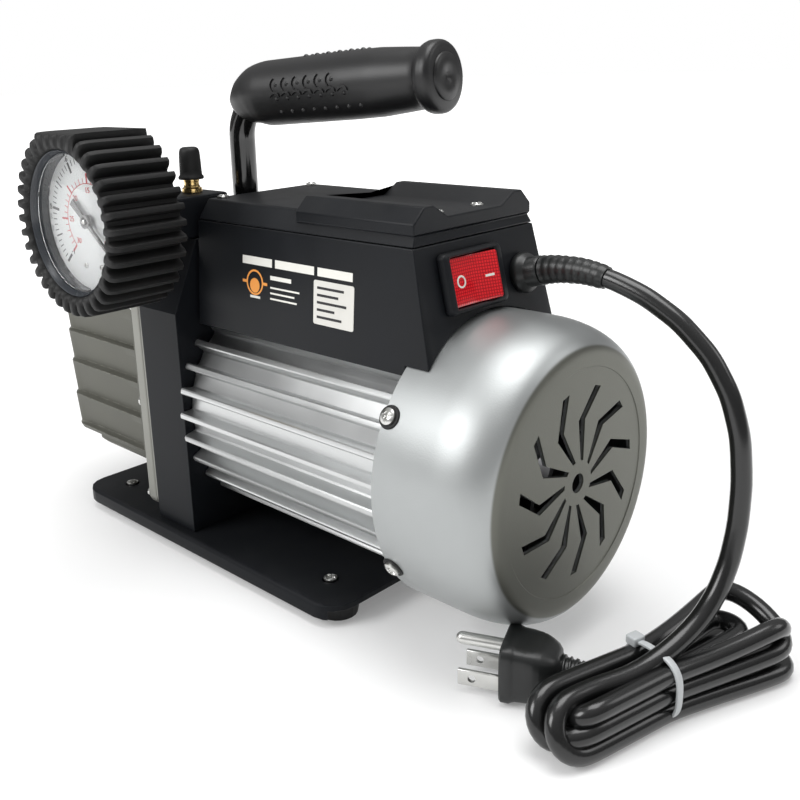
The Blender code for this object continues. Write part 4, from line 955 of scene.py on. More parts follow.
# %% Blades with holes, and the ground pin
HOLE_BACK, HOLE_RADIUS = 0.0052, 0.0015  # the hole's middle behind the blade's tip, and its size
blade_side = (-PLUG_OUT[1], PLUG_OUT[0], 0)
for node, name in (("plug_blade_live", "blade_live"), ("plug_blade_neutral", "blade_neutral")):
    blade = rounded_copy(node, name, zinc, 0.0003, 2)
    low, high = corners_of(node)
    ends = np.array([vertex.co for vertex in blade.data.vertices]) @ -PLUG_OUT
    spot = (low + high) / 2 - PLUG_OUT * (ends.max() - HOLE_BACK - (low + high) / 2 @ -PLUG_OUT)
    hole = [(0, -0.004), (HOLE_RADIUS, -0.004), (HOLE_RADIUS, 0.004), (0, 0.004)]
    punch(blade, lathe(hole, spot, blade_side, 28))
pin_low, pin_high = corners_of("plug_ground_pin")
pin_middle = (pin_low + pin_high) / 2
pin_points = np.array([vertex.co for vertex in bpy.data.objects["plug_ground_pin"].data.vertices])
pin_ends = np.sort((pin_points - pin_middle) @ -PLUG_OUT)
pin_radius = (pin_high[2] - pin_low[2]) / 2
t = np.linspace(0, pi / 2, 9)
dome = np.column_stack([pin_radius * np.cos(t), pin_ends[-1] - pin_radius * (1 - np.sin(t))])
pin_profile = np.concatenate([[(0, pin_ends[0]), (pin_radius, pin_ends[0])], dome])
skin("ground_pin", lathe(pin_profile, pin_middle, tuple(-PLUG_OUT), 32), zinc,
                   stands_for=("plug_ground_pin",), sharp=40)

# %% [markdown]
# ## Oil tank
# The tank is a casting with sloping panels one above another, like the boards of a fence. Each level of the
# grid is a plan outline, a rectangle with round corners. The panels are a sawtooth of height that draws the
# sides in, and it fades out where the rim meets the flange.

# %% Tank with stepped panels
TANK_TOP, TANK_LOW, TANK_END, TANK_SIDE = 0.1190, 0.0280, -0.1810, 0.0450
TANK_RIM, TANK_CORNER, TANK_CROWN = -0.0962, 0.0085, 0.0065  # the flange's face, and two rounding radii
PANEL_DEPTH, SKIRT_TOP, SKIRT_FOOT = 0.0030, 0.0364, 0.0300
RIDGES = np.array([0.1100, 0.0920, 0.0750, 0.0565, 0.0390])


def panel_depth(z):
    """Sawtooth: 0 at the top of each panel, 3 mm at its foot, back to 0 in a short step below it."""
    depth = np.zeros_like(z)
    for top, foot in zip(RIDGES[:-1], RIDGES[1:]):
        inside = (z < top) & (z >= foot)
        slope, short_step = (top - z) / (top - foot) * 1.05, (z - foot) / 0.0006 + 0.25
        depth = np.where(inside, PANEL_DEPTH * np.minimum(slope, short_step), depth)
    return np.clip(depth, 0, PANEL_DEPTH)


def tank_shape():
    """Rows are heights, columns run round the plan from flange to flange; a last closed top and bottom."""
    near_ridges = [RIDGES + move for move in (0, -0.0004, 0.0002, 0.0010)]
    z = np.unique(np.concatenate([
        TANK_TOP - TANK_CROWN * (1 - np.sin(np.linspace(0, pi / 2, 8))), *near_ridges,
        np.linspace(0.041, 0.1090, 30),
        [0.0372, 0.0366, 0.0362, 0.0320, 0.0300, 0.0286, TANK_LOW]]))
    past_crown = np.clip((z - TANK_TOP + TANK_CROWN) / TANK_CROWN, 0, 1)
    crown = TANK_CROWN * (1 - np.sqrt(np.clip(1 - past_crown ** 2, 0, 1)))
    step = np.where(z < SKIRT_TOP, 0.0075, 0) + np.where(z < SKIRT_FOOT, (SKIRT_FOOT - z) * 0.9, 0)
    step = np.where((z >= SKIRT_TOP) & (z < 0.040), (0.040 - z) * 0.35, step)
    side = (TANK_SIDE - crown - step)[:, None]
    end = (TANK_END + crown + step * 1.1)[:, None]
    radius = TANK_CORNER
    share = np.array([0, 0.1, 0.19, 0.2, 0.212, 0.35, 0.5, 0.65, 0.8, 0.92, 1.0])[None]
    lengthwise = TANK_RIM + (end + radius - TANK_RIM) * share
    panelled = np.where(share > 0.205, 1.0, 0.0) * np.where(share > 0.95, 0.75, 1.0)
    sides = side - panel_depth(z)[:, None] * panelled
    t = np.linspace(0, pi / 2, 8)[None, 1:-1]
    corner_x = end + radius - radius * np.sin(t)
    corner_y = side - radius + radius * np.cos(t) - panel_depth(z)[:, None] * 0.5 * np.cos(t)
    flat = np.linspace(1, -1, 13)[None]
    half_x = np.concatenate([lengthwise, corner_x], axis=1)
    half_y = np.concatenate([sides, corner_y], axis=1)
    x = np.concatenate([half_x, end + 0 * flat, half_x[:, ::-1]], axis=1)
    y = np.concatenate([-half_y, -(side - radius) * flat, half_y[:, ::-1]], axis=1)
    points = np.stack([x, y, z[:, None] + 0 * x], -1)
    return points.reshape(-1, 3) + SHIFT, capped_faces(*x.shape)


tank = skin("tank_casting", tank_shape(), cast_metal, stands_for=("oil_tank",), sharp=32)
soften(tank, 0.0005, 2, 32)


def slab(low_x, high_x, half_width, low_z, high_z, corner):
    """Plate standing across the shaft: a rectangle with round corners, pushed from low x to high x."""
    middle, half = (low_z + high_z) / 2, (high_z - low_z) / 2
    t = np.linspace(0, 2 * pi, 48, endpoint=False)
    edge = np.column_stack([
        np.sign(np.cos(t)) * (half_width - corner) + corner * np.cos(t),
        np.sign(np.sin(t)) * (half - corner) + corner * np.sin(t) + middle - shaft[2],
    ])
    return ring_rows([(low_x, edge), (high_x, edge)]), capped_faces(2, len(edge))


FLANGE_FACE = -0.1023
# The flange's lighter metal is painted light, for the light that its face catches.
tank_rim = skin("tank_flange", slab(FLANGE_FACE, TANK_RIM, 0.0503, 0.0142, 0.1228, 0.006), lit_cast_metal)
soften(tank_rim, 0.0008, 3)
flange_screws = [screw(at(FLANGE_FACE, y, z), (-1, 0, 0), 0.0030, 0.0024, turn=y * 900)
                 for y in (-0.0474, 0.0474) for z in (0.020, 0.0685, 0.1165)]
skin("flange_screw_heads", join_shapes(flange_screws), zinc, sharp=30)
print("tank", len(tank.data.polygons), "faces, flange screws", len(flange_screws))

# %% [markdown]
# The sight glass sits in a turned bezel on the end of the tank, and amber oil shows behind it. A boss carries
# the drain screw under it.

# %% Sight glass bezel, oil and drain boss
eye = np.array((at(TANK_END, 0, 0)[0], shaft[1], 0.0700))
bezel = [(0.0118, 0.0002), (0.0118, -0.0016), (0.0122, -0.0020), (0.0150, -0.0020), (0.0156, -0.0014),
         (0.0158, 0.0002)]
skin("glass_bezel", turned_ring([(r, -h) for r, h in bezel], eye, (-1, 0, 0), 64), zinc, sharp=40)
amber = finish("amber oil", (0.62, 0.34, 0.07), 0.12, bump=0.0, tone=0.08)
skin("oil_disc", lathe([(0, -0.0004), (0.0120, -0.0004), (0.0120, 0.0001), (0, 0.0001)], eye, (-1, 0, 0), 48),
     amber)
drain_spot = np.array((eye[0], shaft[1], 0.0400))
boss = [(0, -0.001), (0.0090, -0.001), (0.0088, 0.0006), (0.0070, 0.0012), (0.0045, 0.0013), (0, 0.0013)]
skin("drain_boss", lathe(boss, drain_spot + np.array((0.0006, 0, 0)), (-1, 0, 0), 40), cast_metal)
print("sight glass at", eye.round(4), "drain at", drain_spot.round(4))

# %% [markdown]
# ## Handle
# The handle is a steel tube that stands on the head and bends over the box, with a moulded grip on its arm.
# The middle line is an upright, an arc and a rising arm. Tube and grip are circles carried along it, and
# the grip's radius changes along the way.

# %% Middle line, tube and grip
HANDLE_TURN, HANDLE_RISE = radians(8), radians(3.4)
HANDLE_BEND, HANDLE_TOP, HANDLE_REACH, HANDLE_RADIUS = 0.0200, 0.2115, 0.1130, 0.0060
POST_AT, HEAD_TOP, GRIP_RADIUS = -0.0725, 0.1500, 0.0141
ARC = pi / 2 - HANDLE_RISE
UPRIGHT = HANDLE_TOP - HANDLE_BEND - HEAD_TOP
HANDLE_LENGTH = HANDLE_TOP - 2 * HANDLE_BEND - HEAD_TOP + HANDLE_BEND * ARC + HANDLE_REACH


def handle_line(s):
    """Points a distance s up the line: z = s, then an arc of 20 mm, then a straight arm that rises a little."""
    turn = np.clip((s - UPRIGHT) / HANDLE_BEND, 0, ARC)
    beyond = np.maximum(s - UPRIGHT - HANDLE_BEND * ARC, 0)
    across = HANDLE_BEND * (1 - np.cos(turn)) + beyond * np.sin(turn)
    up = np.minimum(s, UPRIGHT) + HANDLE_BEND * np.sin(turn) + beyond * np.cos(turn)
    return at(POST_AT, 0, HEAD_TOP) + np.stack([across * cos(HANDLE_TURN), across * sin(HANDLE_TURN), up], -1)


handle_side = (-sin(HANDLE_TURN), cos(HANDLE_TURN), 0)
handle_pipe = tube(handle_line(np.linspace(0.0003, HANDLE_LENGTH - 0.008, 70)), HANDLE_RADIUS, 40, handle_side)
skin("handle_pipe", handle_pipe, tube_paint, stands_for=("handle_tube",), sharp=50)
GRIP_START, GRIP_END = HANDLE_LENGTH - HANDLE_REACH + 0.0030, HANDLE_LENGTH
grip_table = np.array([
    (0, 0.0080), (0.0004, 0.0088), (0.0015, 0.0096), (0.006, 0.0118), (0.012, 0.0134),
    (0.018, GRIP_RADIUS), (0.040, GRIP_RADIUS), (0.065, GRIP_RADIUS), (0.080, 0.0138), (0.092, 0.0128),
    (0.0985, 0.0122), (0.1005, 0.0121), (0.1018, 0.0125), (0.1030, 0.0137), (0.1045, 0.0142),
    (0.1068, 0.0143), (0.1082, 0.0141), (0.1093, 0.0135), (0.1099, 0.0122),
])
grip_share = np.concatenate([
    np.linspace(0, 0.1015, 60), np.linspace(0.1018, GRIP_END - GRIP_START - 0.0001, 16),
])
grip_radius = np.interp(grip_share, grip_table[:, 0], grip_table[:, 1])
grip = tube(handle_line(GRIP_START + grip_share), grip_radius, 56, handle_side)
print("handle line", round(HANDLE_LENGTH, 4), "m, grip", round(GRIP_END - GRIP_START, 4), "m")

# %% [markdown]
# The grip has rows of small crescent nubs so that it does not slip. A nub is a thin arc of a circle laid on
# the round grip: it is drawn flat as distance along and angle around, then wrapped on. Each has few faces.

# %% Crescent nubs
def wrapped(s, angle, lift):
    """Points of the grip a distance s along it, at an angle from its top and lifted off it."""
    radius = np.interp(s - GRIP_START, grip_table[:, 0], grip_table[:, 1]) + lift
    step = handle_line(s + 1e-4) - handle_line(s)
    direction = step / np.linalg.norm(step, axis=-1, keepdims=True)
    side = np.array(handle_side)
    up = np.cross(side, direction)
    up /= np.linalg.norm(up, axis=-1, keepdims=True)
    up = up * np.sign(up[..., 2:])
    outwards = np.cos(angle)[..., None] * up + np.sin(angle)[..., None] * -side
    return handle_line(s) + radius[..., None] * outwards


def nub(along, around, size=0.0036, turn=0.0):
    """Crescent: arc of half angle 1.25 with width (1 - 0.8 a^2), raised 0.75 mm and wrapped on the grip."""
    a = np.linspace(-1, 1, 9)
    arc = np.stack([np.cos(a * 1.25 + turn), np.sin(a * 1.25 + turn)], -1) * size
    normal = arc / size
    width = 0.00085 * (1 - 0.8 * a[:, None] ** 2)
    flat = np.stack([arc + normal * width, arc + normal * width * 0.6, arc - normal * width * 0.6,
                     arc - normal * width])
    lift = np.array([-0.0003, 0.00075, 0.00075, -0.0003])[:, None] + 0 * a
    points = wrapped(along + flat[..., 0], around + flat[..., 1] / GRIP_RADIUS, lift)
    faces = [tuple(face) for face in grid_faces(4, 9, close_rows=False, close_columns=False)]
    faces += [(0, 9, 18, 27), (35, 26, 17, 8)]
    return points.reshape(-1, 3), faces


def dot(along, around, size=0.0011):
    """Low dome: height 0.9 mm times (1 - r^2) over a polar grid, set 0.2 mm into the grip and wrapped on it."""
    r = np.linspace(1, 0, 5)[:, None]
    t = np.linspace(0, 2 * pi, 12, endpoint=False)[None]
    flat = np.stack([r * np.cos(t), r * np.sin(t)], -1) * size
    lift = 0.0009 * (1 - r**2) - 0.0002 + 0 * t
    points = wrapped(along + flat[..., 0], around + flat[..., 1] / GRIP_RADIUS, lift)
    return points.reshape(-1, 3), grid_faces(5, 12)


NUB_START, NUB_PITCH = GRIP_START + 0.0322, 0.0061
nubs = []
for side in (1, -1):
    for around, count, turn in ((1.36, 6, pi), (1.78, 7, -pi / 2 * side), (2.22, 8, None)):
        for number in range(count):
            along = NUB_START + number * NUB_PITCH
            nubs.append(dot(along + 0.0006, around * side))
            if turn is not None:
                nubs.append(nub(along, around * side, 0.0027, turn))
for number in range(6):
    nubs += [dot(NUB_START + 0.0095 + number * NUB_PITCH, around, 0.0014) for around in (0.16, -0.16)]
grip_end = handle_line(np.array([GRIP_END - 2e-4, GRIP_END]))
button = [(0, -0.0006), (0.0094, -0.0006), (0.0094, 0.0003), (0.0087, 0.0009), (0.0020, 0.0009), (0.0014, 0.0002),
          (0, 0.0002)]
nubs.append(lathe(button, grip_end[1], grip_end[1] - grip_end[0], 40))
skin("handle_grip_sleeve", join_shapes([grip] + nubs), grip_rubber, stands_for=("handle_grip",),
     sharp=50)
print("nubs", len(nubs))

# %% [markdown]
# ## Switch
# The switch snaps into the sloping end of the box: a thick raised frame with rounded corners and a red
# rocker. The frame is one closed grid whose rows are rounded rectangles, going up outside, over the rim and
# down inside.

# %% Switch frame
SLOPE_OUT = np.array((0.9747, 0, 0.2233))
SLOPE_UP = np.array((-0.2233, 0, 0.9747))
SLOPE_PLACE = np.array(hinges["rocker_tip"]["pos_m"])
slope_axes = np.stack([(0, 1, 0), SLOPE_UP, SLOPE_OUT])


def on_slope(points):
    """Points (sideways, up the slope, out of it) moved onto the switch's place."""
    return np.asarray(points, float) @ slope_axes + SLOPE_PLACE


def rectangle_rows(rows, count=12):
    """Each row (half width, half height, corner, height): corner centres plus corner times (cos t, sin t)."""
    t = np.linspace(0, 2 * pi, 4 * count, endpoint=False) + pi / (4 * count)
    result = []
    for half_x, half_y, corner, height in rows:
        x = np.sign(np.cos(t)) * (half_x - corner) + corner * np.cos(t)
        y = np.sign(np.sin(t)) * (half_y - corner) + corner * np.sin(t)
        result.append(np.stack([x, y, 0 * t + height], -1))
    return np.array(result)


frame_rows = rectangle_rows([
    (0.0170, 0.0112, 0.0020, 0.0002), (0.0175, 0.0116, 0.0024, 0.0008), (0.0174, 0.0115, 0.0024, 0.0022),
    (0.0169, 0.0110, 0.0022, 0.0032), (0.0160, 0.0103, 0.0016, 0.0036), (0.0142, 0.0100, 0.0012, 0.0036),
    (0.0134, 0.0096, 0.0010, 0.0031), (0.0133, 0.0095, 0.0010, -0.0060), (0.0150, 0.0104, 0.0010, -0.0060),
])
skin("switch_surround", (on_slope(frame_rows.reshape(-1, 3)), grid_faces(9, 48, close_rows=True)), box_plastic,
     stands_for=("switch_frame",), sharp=30)
print("switch frame", frame_rows.shape[:2], "grid")

# %% [markdown]
# The rocker is a shallow V seen from the side: both wings rise from the hinge line in the middle. It rests
# tipped by nine degrees. A ring and a bar, the usual signs for off and on, stand on its wings.

# %% Rocker with its two signs
REST_TIP = radians(9)
ROCKER_HALF, SIGN_SUNK = 0.0118, -0.0002


def tipped(points):
    """Points turned about the up line by the rest angle: x' = x cos a - z sin a, z' = z cos a + x sin a."""
    x, y, z = np.moveaxis(np.asarray(points, float), -1, 0)
    turned = [x * cos(REST_TIP) - z * sin(REST_TIP), y, z * cos(REST_TIP) + x * sin(REST_TIP)]
    return on_slope(np.stack(turned, -1))


def rocker_height(x):
    """Face of the rocker: 2.2 mm at the hinge line, rising along a hyperbola to 3.7 mm at both ends."""
    return 0.0020 + 0.0017 * np.sqrt((x / ROCKER_HALF) ** 2 + 0.01)


def rocker_shape():
    """Columns are the outline seen from the side, rows are slices from bottom to top with rounded ends."""
    x = np.linspace(-ROCKER_HALF, ROCKER_HALF, 25)
    face = np.column_stack([x, rocker_height(x)])
    below = np.array([(0.0115, 0.0010), (0.0085, -0.0040), (0, -0.0040), (-0.0085, -0.0040), (-0.0115, 0.0010)])
    outline = np.concatenate([face, below])
    slices = [(0.0090, 0), (0.0090, 0.955), (0.0087, 0.985), (0.0080, 1)]
    slices = [(-y, scale) for y, scale in slices] + slices[::-1]
    rows = [np.column_stack([outline[:, 0] * scale, np.full(len(outline), y), outline[:, 1] * scale])
            for y, scale in slices]
    return tipped(np.array(rows).reshape(-1, 3)), grid_faces(len(slices), len(outline))


def flat_ring(middle, inner, outer, lift=0.00012):
    """Thin ring laid on the rocker's face: polar grid with the face's own height under every point."""
    t = np.linspace(0, 2 * pi, 40, endpoint=False)
    rows = []
    for radius, up in ((inner, SIGN_SUNK), (inner, lift), (outer, lift), (outer, SIGN_SUNK)):
        x, y = middle + radius * np.cos(t), radius * np.sin(t)
        rows.append(np.stack([x, y, rocker_height(x) + up], -1))
    return tipped(np.array(rows).reshape(-1, 3)), grid_faces(4, 40, close_rows=True)


def flat_bar(low, high, half, lift=0.00012):
    """Thin bar laid on the rocker's face."""
    x = np.linspace(low, high, 6)
    rows = []
    for y, up in ((-half, SIGN_SUNK), (-half, lift), (half, lift), (half, SIGN_SUNK)):
        rows.append(np.column_stack([x, np.full(6, y), rocker_height(x) + up]))
    faces = [tuple(face) for face in grid_faces(4, 6, close_rows=True, close_columns=False)]
    faces += [(0, 6, 12, 18), (23, 17, 11, 5)]
    return tipped(np.array(rows).reshape(-1, 3)), faces


skin("rocker_wings", rocker_shape(), red_plastic, "rocker", ("rocker",), sharp=40)
signs = [flat_ring(-0.0072, 0.0017, 0.0024), flat_bar(0.0052, 0.0092, 0.00045)]
skin("rocker_signs", join_shapes(signs), label_white, "rocker")
print("rocker hinge at", SLOPE_PLACE.round(4))

# %% [markdown]
# ## Gauge
# The gauge sits in a rubber boot with teeth all round, which guards it against knocks. The boot is a turned
# profile whose radius is raised in square waves around the axis. A tooth-less roof covers the top. The
# front edge slopes in to the dial, and the teeth fade out there.

# %% Rubber boot
pivot = hinges["needle_swing"]["pos_m"]
GAUGE_AT = np.array((pivot[0], at(0, -0.0935, 0)[1], pivot[2]))
GAUGE_OUT = (0, -1, 0)
TEETH, TOOTH_HEIGHT, BOOT_RADIUS = 36, 0.0052, 0.0342
ROOF_HEIGHT, ROOF_LIMIT, ROOF_HALF = 0.0372, 0.0408, 0.44  # metres, metres, and radians from the top


def boot_shape():
    """Radius over (profile, angle): body radius plus tooth height times a soft square wave of 36 periods."""
    profile = np.array([  # radius, height, share of tooth, share of roof
        (0.0318, -0.0345, 0, 0), (0.0332, -0.0350, 0, 0), (0.0339, -0.0350, 0.7, 0.7),
        (0.0341, -0.0342, 1, 1), (0.0342, -0.0300, 1, 1), (0.0342, -0.0220, 1, 1),
        (0.0342, -0.0140, 1, 1), (0.0342, -0.0080, 1, 1), (0.0341, -0.0040, 1, 1),
        (0.0339, -0.0015, 0.98, 1), (0.0337, -0.0003, 0.86, 0.92), (0.0334, 0.0002, 0.60, 0.75),
        (0.0330, 0.0003, 0.25, 0.4), (0.0324, 0.0002, 0, 0), (0.0312, -0.0006, 0, 0),
        (0.0306, -0.0016, 0, 0), (0.0304, -0.0030, 0, 0), (0.0304, -0.0044, 0, 0),
    ])
    ridge = np.array([0] * 9 + [0.2, 0.6, 1, 1, 1, 0.6, 0.1, 0, 0])[:, None]
    turns = TEETH * 14
    t = np.linspace(0, 2 * pi, turns, endpoint=False)[None]
    wave = 1 / (1 + np.exp(-(np.cos(TEETH * t) + 0.02) * 6))
    wave = (wave - wave.min()) / (wave.max() - wave.min())
    from_top = np.abs((t - pi / 2 + pi) % (2 * pi) - pi)
    roof = np.clip((ROOF_HALF - from_top) / 0.04, 0, 1)
    body, height, tooth, covered = (profile[:, [k]] for k in range(4))
    flat_roof = np.minimum(ROOF_HEIGHT / np.maximum(np.cos(from_top), 0.6), ROOF_LIMIT)
    radius = body + TOOTH_HEIGHT * tooth * wave * (1 - roof) + (flat_roof - BOOT_RADIUS) * covered * roof
    local = np.stack([radius * np.cos(t), radius * np.sin(t), height + 0.0009 * ridge * (wave - 0.6)], -1)
    points = local.reshape(-1, 3) @ basis(GAUGE_OUT).T + GAUGE_AT
    return points, grid_faces(len(profile), turns, close_rows=True)


skin("boot_ribbed", boot_shape(), rubber, stands_for=("gauge_boot",), sharp=45)
print("boot teeth", TEETH, "gauge at", GAUGE_AT.round(4))

# %% [markdown]
# Inside the boot are a dark plastic case with a steep bezel wall, a white dial, a needle and a flat lens.
# The case is one turned cup, so that the dial, the needle and the lens sit in it without touching its wall.

# %% Case and bezel wall
case_profile = [
    (0, -0.0348), (0.0306, -0.0348), (0.0313, -0.0340), (0.0313, -0.0048), (0.0307, -0.0030), (0.0304, -0.0020),
    (0.0301, -0.0017), (0.0298, -0.0020), (0.0296, -0.0032), (0.0291, -0.0040), (0.0289, -0.0060),
    (0.0289, -0.0138),
    (0, -0.0138),
]
skin("bezel_cup", lathe(case_profile, GAUGE_AT, GAUGE_OUT, 96), dark_plastic, stands_for=("gauge_case",))
print("case", len(case_profile), "profile points")

# %% Dial plate and its marks
DIAL_TOP, DIAL_RADIUS = -0.0120, 0.0286


def on_dial(points, lift=0.00005):
    """Flat (across, up) points laid on the dial."""
    points = np.asarray(points, float)
    local = np.concatenate([points, np.full(points.shape[:-1] + (1,), DIAL_TOP + lift)], axis=-1)
    return local.reshape(-1, 3) @ basis(GAUGE_OUT).T + GAUGE_AT


def thin(outline, lift=0.00005, depth=0.00015):
    """Flat outline given a small depth, so that a mark is a closed solid."""
    return np.concatenate([on_dial(outline, -depth), on_dial(outline, lift)]), capped_faces(2, len(outline))


def sweep_angle(share):
    """Angle on the dial for a share of the scale: from half past seven clockwise to half past four."""
    return radians(225) - radians(270) * np.asarray(share, float)


def tick(share, inner, outer, width):
    """Bar along a radius."""
    angle = sweep_angle(share)
    along, across = np.array((cos(angle), sin(angle))), np.array((-sin(angle), cos(angle))) * width / 2
    return thin([along * inner - across, along * outer - across, along * outer + across, along * inner + across])


def dial_arc(inner, outer, count=90):
    """Thin band between two radii over the whole sweep."""
    angle = sweep_angle(np.linspace(0, 1, count))
    unit = np.column_stack([np.cos(angle), np.sin(angle)])
    return thin(np.concatenate([unit * outer, unit[::-1] * inner]))


dial_profile = [(0, -0.0136), (DIAL_RADIUS, -0.0136), (DIAL_RADIUS, DIAL_TOP), (0, DIAL_TOP)]
skin("dial_plate", lathe(dial_profile, GAUGE_AT, GAUGE_OUT, 96), dial_white, stands_for=("gauge_dial",))
black_marks = [tick(i / 10, 0.0214, 0.0256, 0.0006) for i in range(11)]
black_marks += [tick(i / 5, 0.0210, 0.0256, 0.0011) for i in range(6)]
black_marks += [tick(i / 50, 0.0232, 0.0256, 0.00036) for i in range(51) if i % 5]
red_marks = [dial_arc(0.0148, 0.0151)]
red_marks += [tick(i / 30, 0.0151, 0.0172, 0.0003) for i in range(31) if i % 5]
red_marks += [tick(i / 6, 0.0151, 0.0190, 0.0008) for i in range(7)]
print("dial marks", len(black_marks), "black and", len(red_marks), "red")

# %% [markdown]
# The numbers are plain figures. Each one is made as a text, turned into a mesh, cut down to what it needs
# and moved to its place on the dial with the mesh's own points.

# %% Numbers
def figure_marks(text, share, radius, size):
    """Figures as a closed mesh centred on a point of the dial."""
    curve = bpy.data.curves.new("figures", "FONT")
    curve.body, curve.size = text, size
    curve.align_x, curve.align_y = "CENTER", "CENTER"
    curve.extrude, curve.resolution_u = 0.0001, 2
    holder = new_object("figures", curve)
    bpy.context.view_layer.update()
    mesh = bpy.data.meshes.new_from_object(holder.evaluated_get(bpy.context.evaluated_depsgraph_get()))
    points = np.empty(len(mesh.vertices) * 3)
    mesh.vertices.foreach_get("co", points)
    faces = [tuple(polygon.vertices) for polygon in mesh.polygons]
    bpy.data.objects.remove(holder)
    points = points.reshape(-1, 3)
    angle = sweep_angle(share)
    local = points + np.array((radius * cos(angle), radius * sin(angle), DIAL_TOP + 0.00002))
    return local @ basis(GAUGE_OUT).T + GAUGE_AT, faces


for i, text in enumerate(("-1", ".8", ".6", ".4", ".2", "0")):
    black_marks.append(figure_marks(text, i / 5, 0.0272 if 0 < i < 5 else 0.0190, 0.0034))
for i, text in enumerate(("30", "25", "20", "15", "10", "5", "0")):
    red_marks.append(figure_marks(text, i / 6, 0.0122, 0.0032))
skin("dial_black_marks", join_shapes(black_marks), label_grey, sharp=60)
skin("dial_red_marks", join_shapes(red_marks), dial_red, sharp=60)
dial_spots = [on_dial([(0.0052 * side, -0.0185)])[0] for side in (-1, 1)]
skin("dial_screws", join_shapes([screw(spot, GAUGE_OUT, 0.0011, 0.0006) for spot in dial_spots]), zinc)
print("with numbers", len(black_marks), "black and", len(red_marks), "red")

# %% [markdown]
# The needle is a thin bar with a fine point, an open ring round the pin and a short blunt tail. It turns with
# the gauge, so it rides on the needle body.

# %% Needle, pin and lens
NEEDLE_ANGLE = radians(-42)


def needle_shape():
    """Outline turned to the rest angle and given a thickness."""
    outline = np.array([(-0.0115, -0.0016), (-0.0113, 0.0016), (-0.0030, 0.0010), (0.0030, 0.0009),
                        (0.0230, 0.0003),
                        (0.0230, -0.0003), (0.0030, -0.0009), (-0.0030, -0.0010)])
    turned = outline @ np.array([(cos(NEEDLE_ANGLE), sin(NEEDLE_ANGLE)), (-sin(NEEDLE_ANGLE), cos(NEEDLE_ANGLE))])
    return np.concatenate([on_dial(turned, 0.0012), on_dial(turned, 0.0018)]), capped_faces(2, len(turned))


dial_middle = GAUGE_AT + np.array((0, -DIAL_TOP, 0))
hub = lathe([(0, 0.0009), (0.0028, 0.0009), (0.0028, 0.0021), (0.0021, 0.0021), (0.0021, 0.0018), (0, 0.0018)],
            dial_middle, GAUGE_OUT, 40)
skin("needle_pointer", join_shapes([needle_shape(), hub]), tube_paint, "needle", ("gauge_needle",),
     sharp=30)
pin = lathe([(0, 0.0019), (0.0010, 0.0019), (0.0010, 0.0024), (0.0007, 0.0027), (0, 0.0028)],
            dial_middle, GAUGE_OUT, 24)
skin("needle_pin", pin, zinc, "needle")
lens = [(0, -0.0058), (DIAL_RADIUS, -0.0058), (DIAL_RADIUS, -0.0046), (0.0280, -0.0044), (0, -0.0042)]
skin("lens_disc", lathe(lens, GAUGE_AT, GAUGE_OUT, 96), glass, stands_for=("gauge_lens",))
print("needle turns about", dial_middle.round(4))

# %% [markdown]
# ## Inlet and caps
# A brass nipple stands on the intake block under a soft rubber cap with a flared foot. The filler cap on
# the tank has a knurled rim, which is a turned profile with its radius waved around the axis.

# %% Inlet cap, nipple and filler cap
cap_low, cap_high = corners_of("inlet_cap")
inlet = (cap_low + cap_high) / 2
block_top = corners_of("intake_block")[1][2]
nipple_profile = [(0.0018, 0.0003), (0.0046, 0.0003), (0.0046, 0.0020), (0.0038, 0.0026), (0.0036, 0.0034),
                  (0.0034, 0.0036),
                  (0.0034, 0.0050), (0.0036, 0.0053), (0.0036, 0.0128), (0.0033, 0.0131), (0.0018, 0.0131)]
foot = np.array((inlet[0], inlet[1], block_top))
skin("nipple_turned", turned_ring(nipple_profile, foot, (0, 0, 1), 40), brass, stands_for=("inlet_nipple",),
     sharp=30)
rubber_cap = [(0, 0.0137), (0.0039, 0.0137), (0.0039, 0.0064), (0.0056, 0.0062), (0.0058, 0.0067),
              (0.0057, 0.0074),
              (0.0051, 0.0080), (0.0050, 0.0100), (0.0048, 0.0160), (0.0046, 0.0184), (0.0041, 0.0198),
              (0.0030, 0.0204), (0, 0.0206)]
skin("inlet_rubber_cap", lathe(rubber_cap, foot, (0, 0, 1), 48), rubber, "inlet_cap", ("inlet_cap",),
     sharp=50)
filler_low, filler_high = corners_of("filler_cap")
filler = np.array(((filler_low[0] + filler_high[0]) / 2, shaft[1], filler_low[2]))


def knurled(profile, height_low, height_high, count, depth, turns, spot):
    """Turned profile with radius (1 + depth cos(count t)) between two heights."""
    points, faces = lathe(profile, (0, 0, 0), (0, 0, 1), turns)
    radius, angle = np.hypot(points[:, 0], points[:, 1]), np.arctan2(points[:, 1], points[:, 0])
    waved = np.where((points[:, 2] > height_low) & (points[:, 2] < height_high) & (radius > 0.008),
                     depth * (np.clip(np.cos(count * angle) * 2, -1, 1) - 1) / 2, 0)
    scale = (1 + waved / np.maximum(radius, 1e-6))[:, None]
    return points * np.concatenate([scale, scale, np.ones_like(scale)], axis=1) + spot, faces


tall = filler_high[2] - filler_low[2]
cap_profile = [(0, 0), (0.0070, 0), (0.0070, 0.0058), (0.0112, 0.0060), (0.0112, 0.0075), (0.0140, 0.0078),
               (0.0148, 0.0086), (0.0148, 0.0100), (0.0148, tall - 0.0045), (0.0146, tall - 0.0025),
               (0.0138, tall - 0.0010), (0.0120, tall - 0.0003), (0.0095, tall - 0.0003), (0.0090, tall - 0.0009),
               (0, tall - 0.0009)]
skin("filler_knob", knurled(cap_profile, 0.0085, tall - 0.002, 24, 0.0010, 192, filler), plug_plastic,
     "filler_cap",
     ("filler_cap",), sharp=40)
neck = [(0, -0.001), (0.0150, -0.001), (0.0148, 0.0012), (0.0120, 0.0020), (0.0074, 0.0020), (0.0074, 0.0012),
        (0, 0.0012)]
skin("filler_neck", lathe(neck, np.array((filler[0], filler[1], TANK_TOP)), (0, 0, 1), 48), cast_metal)
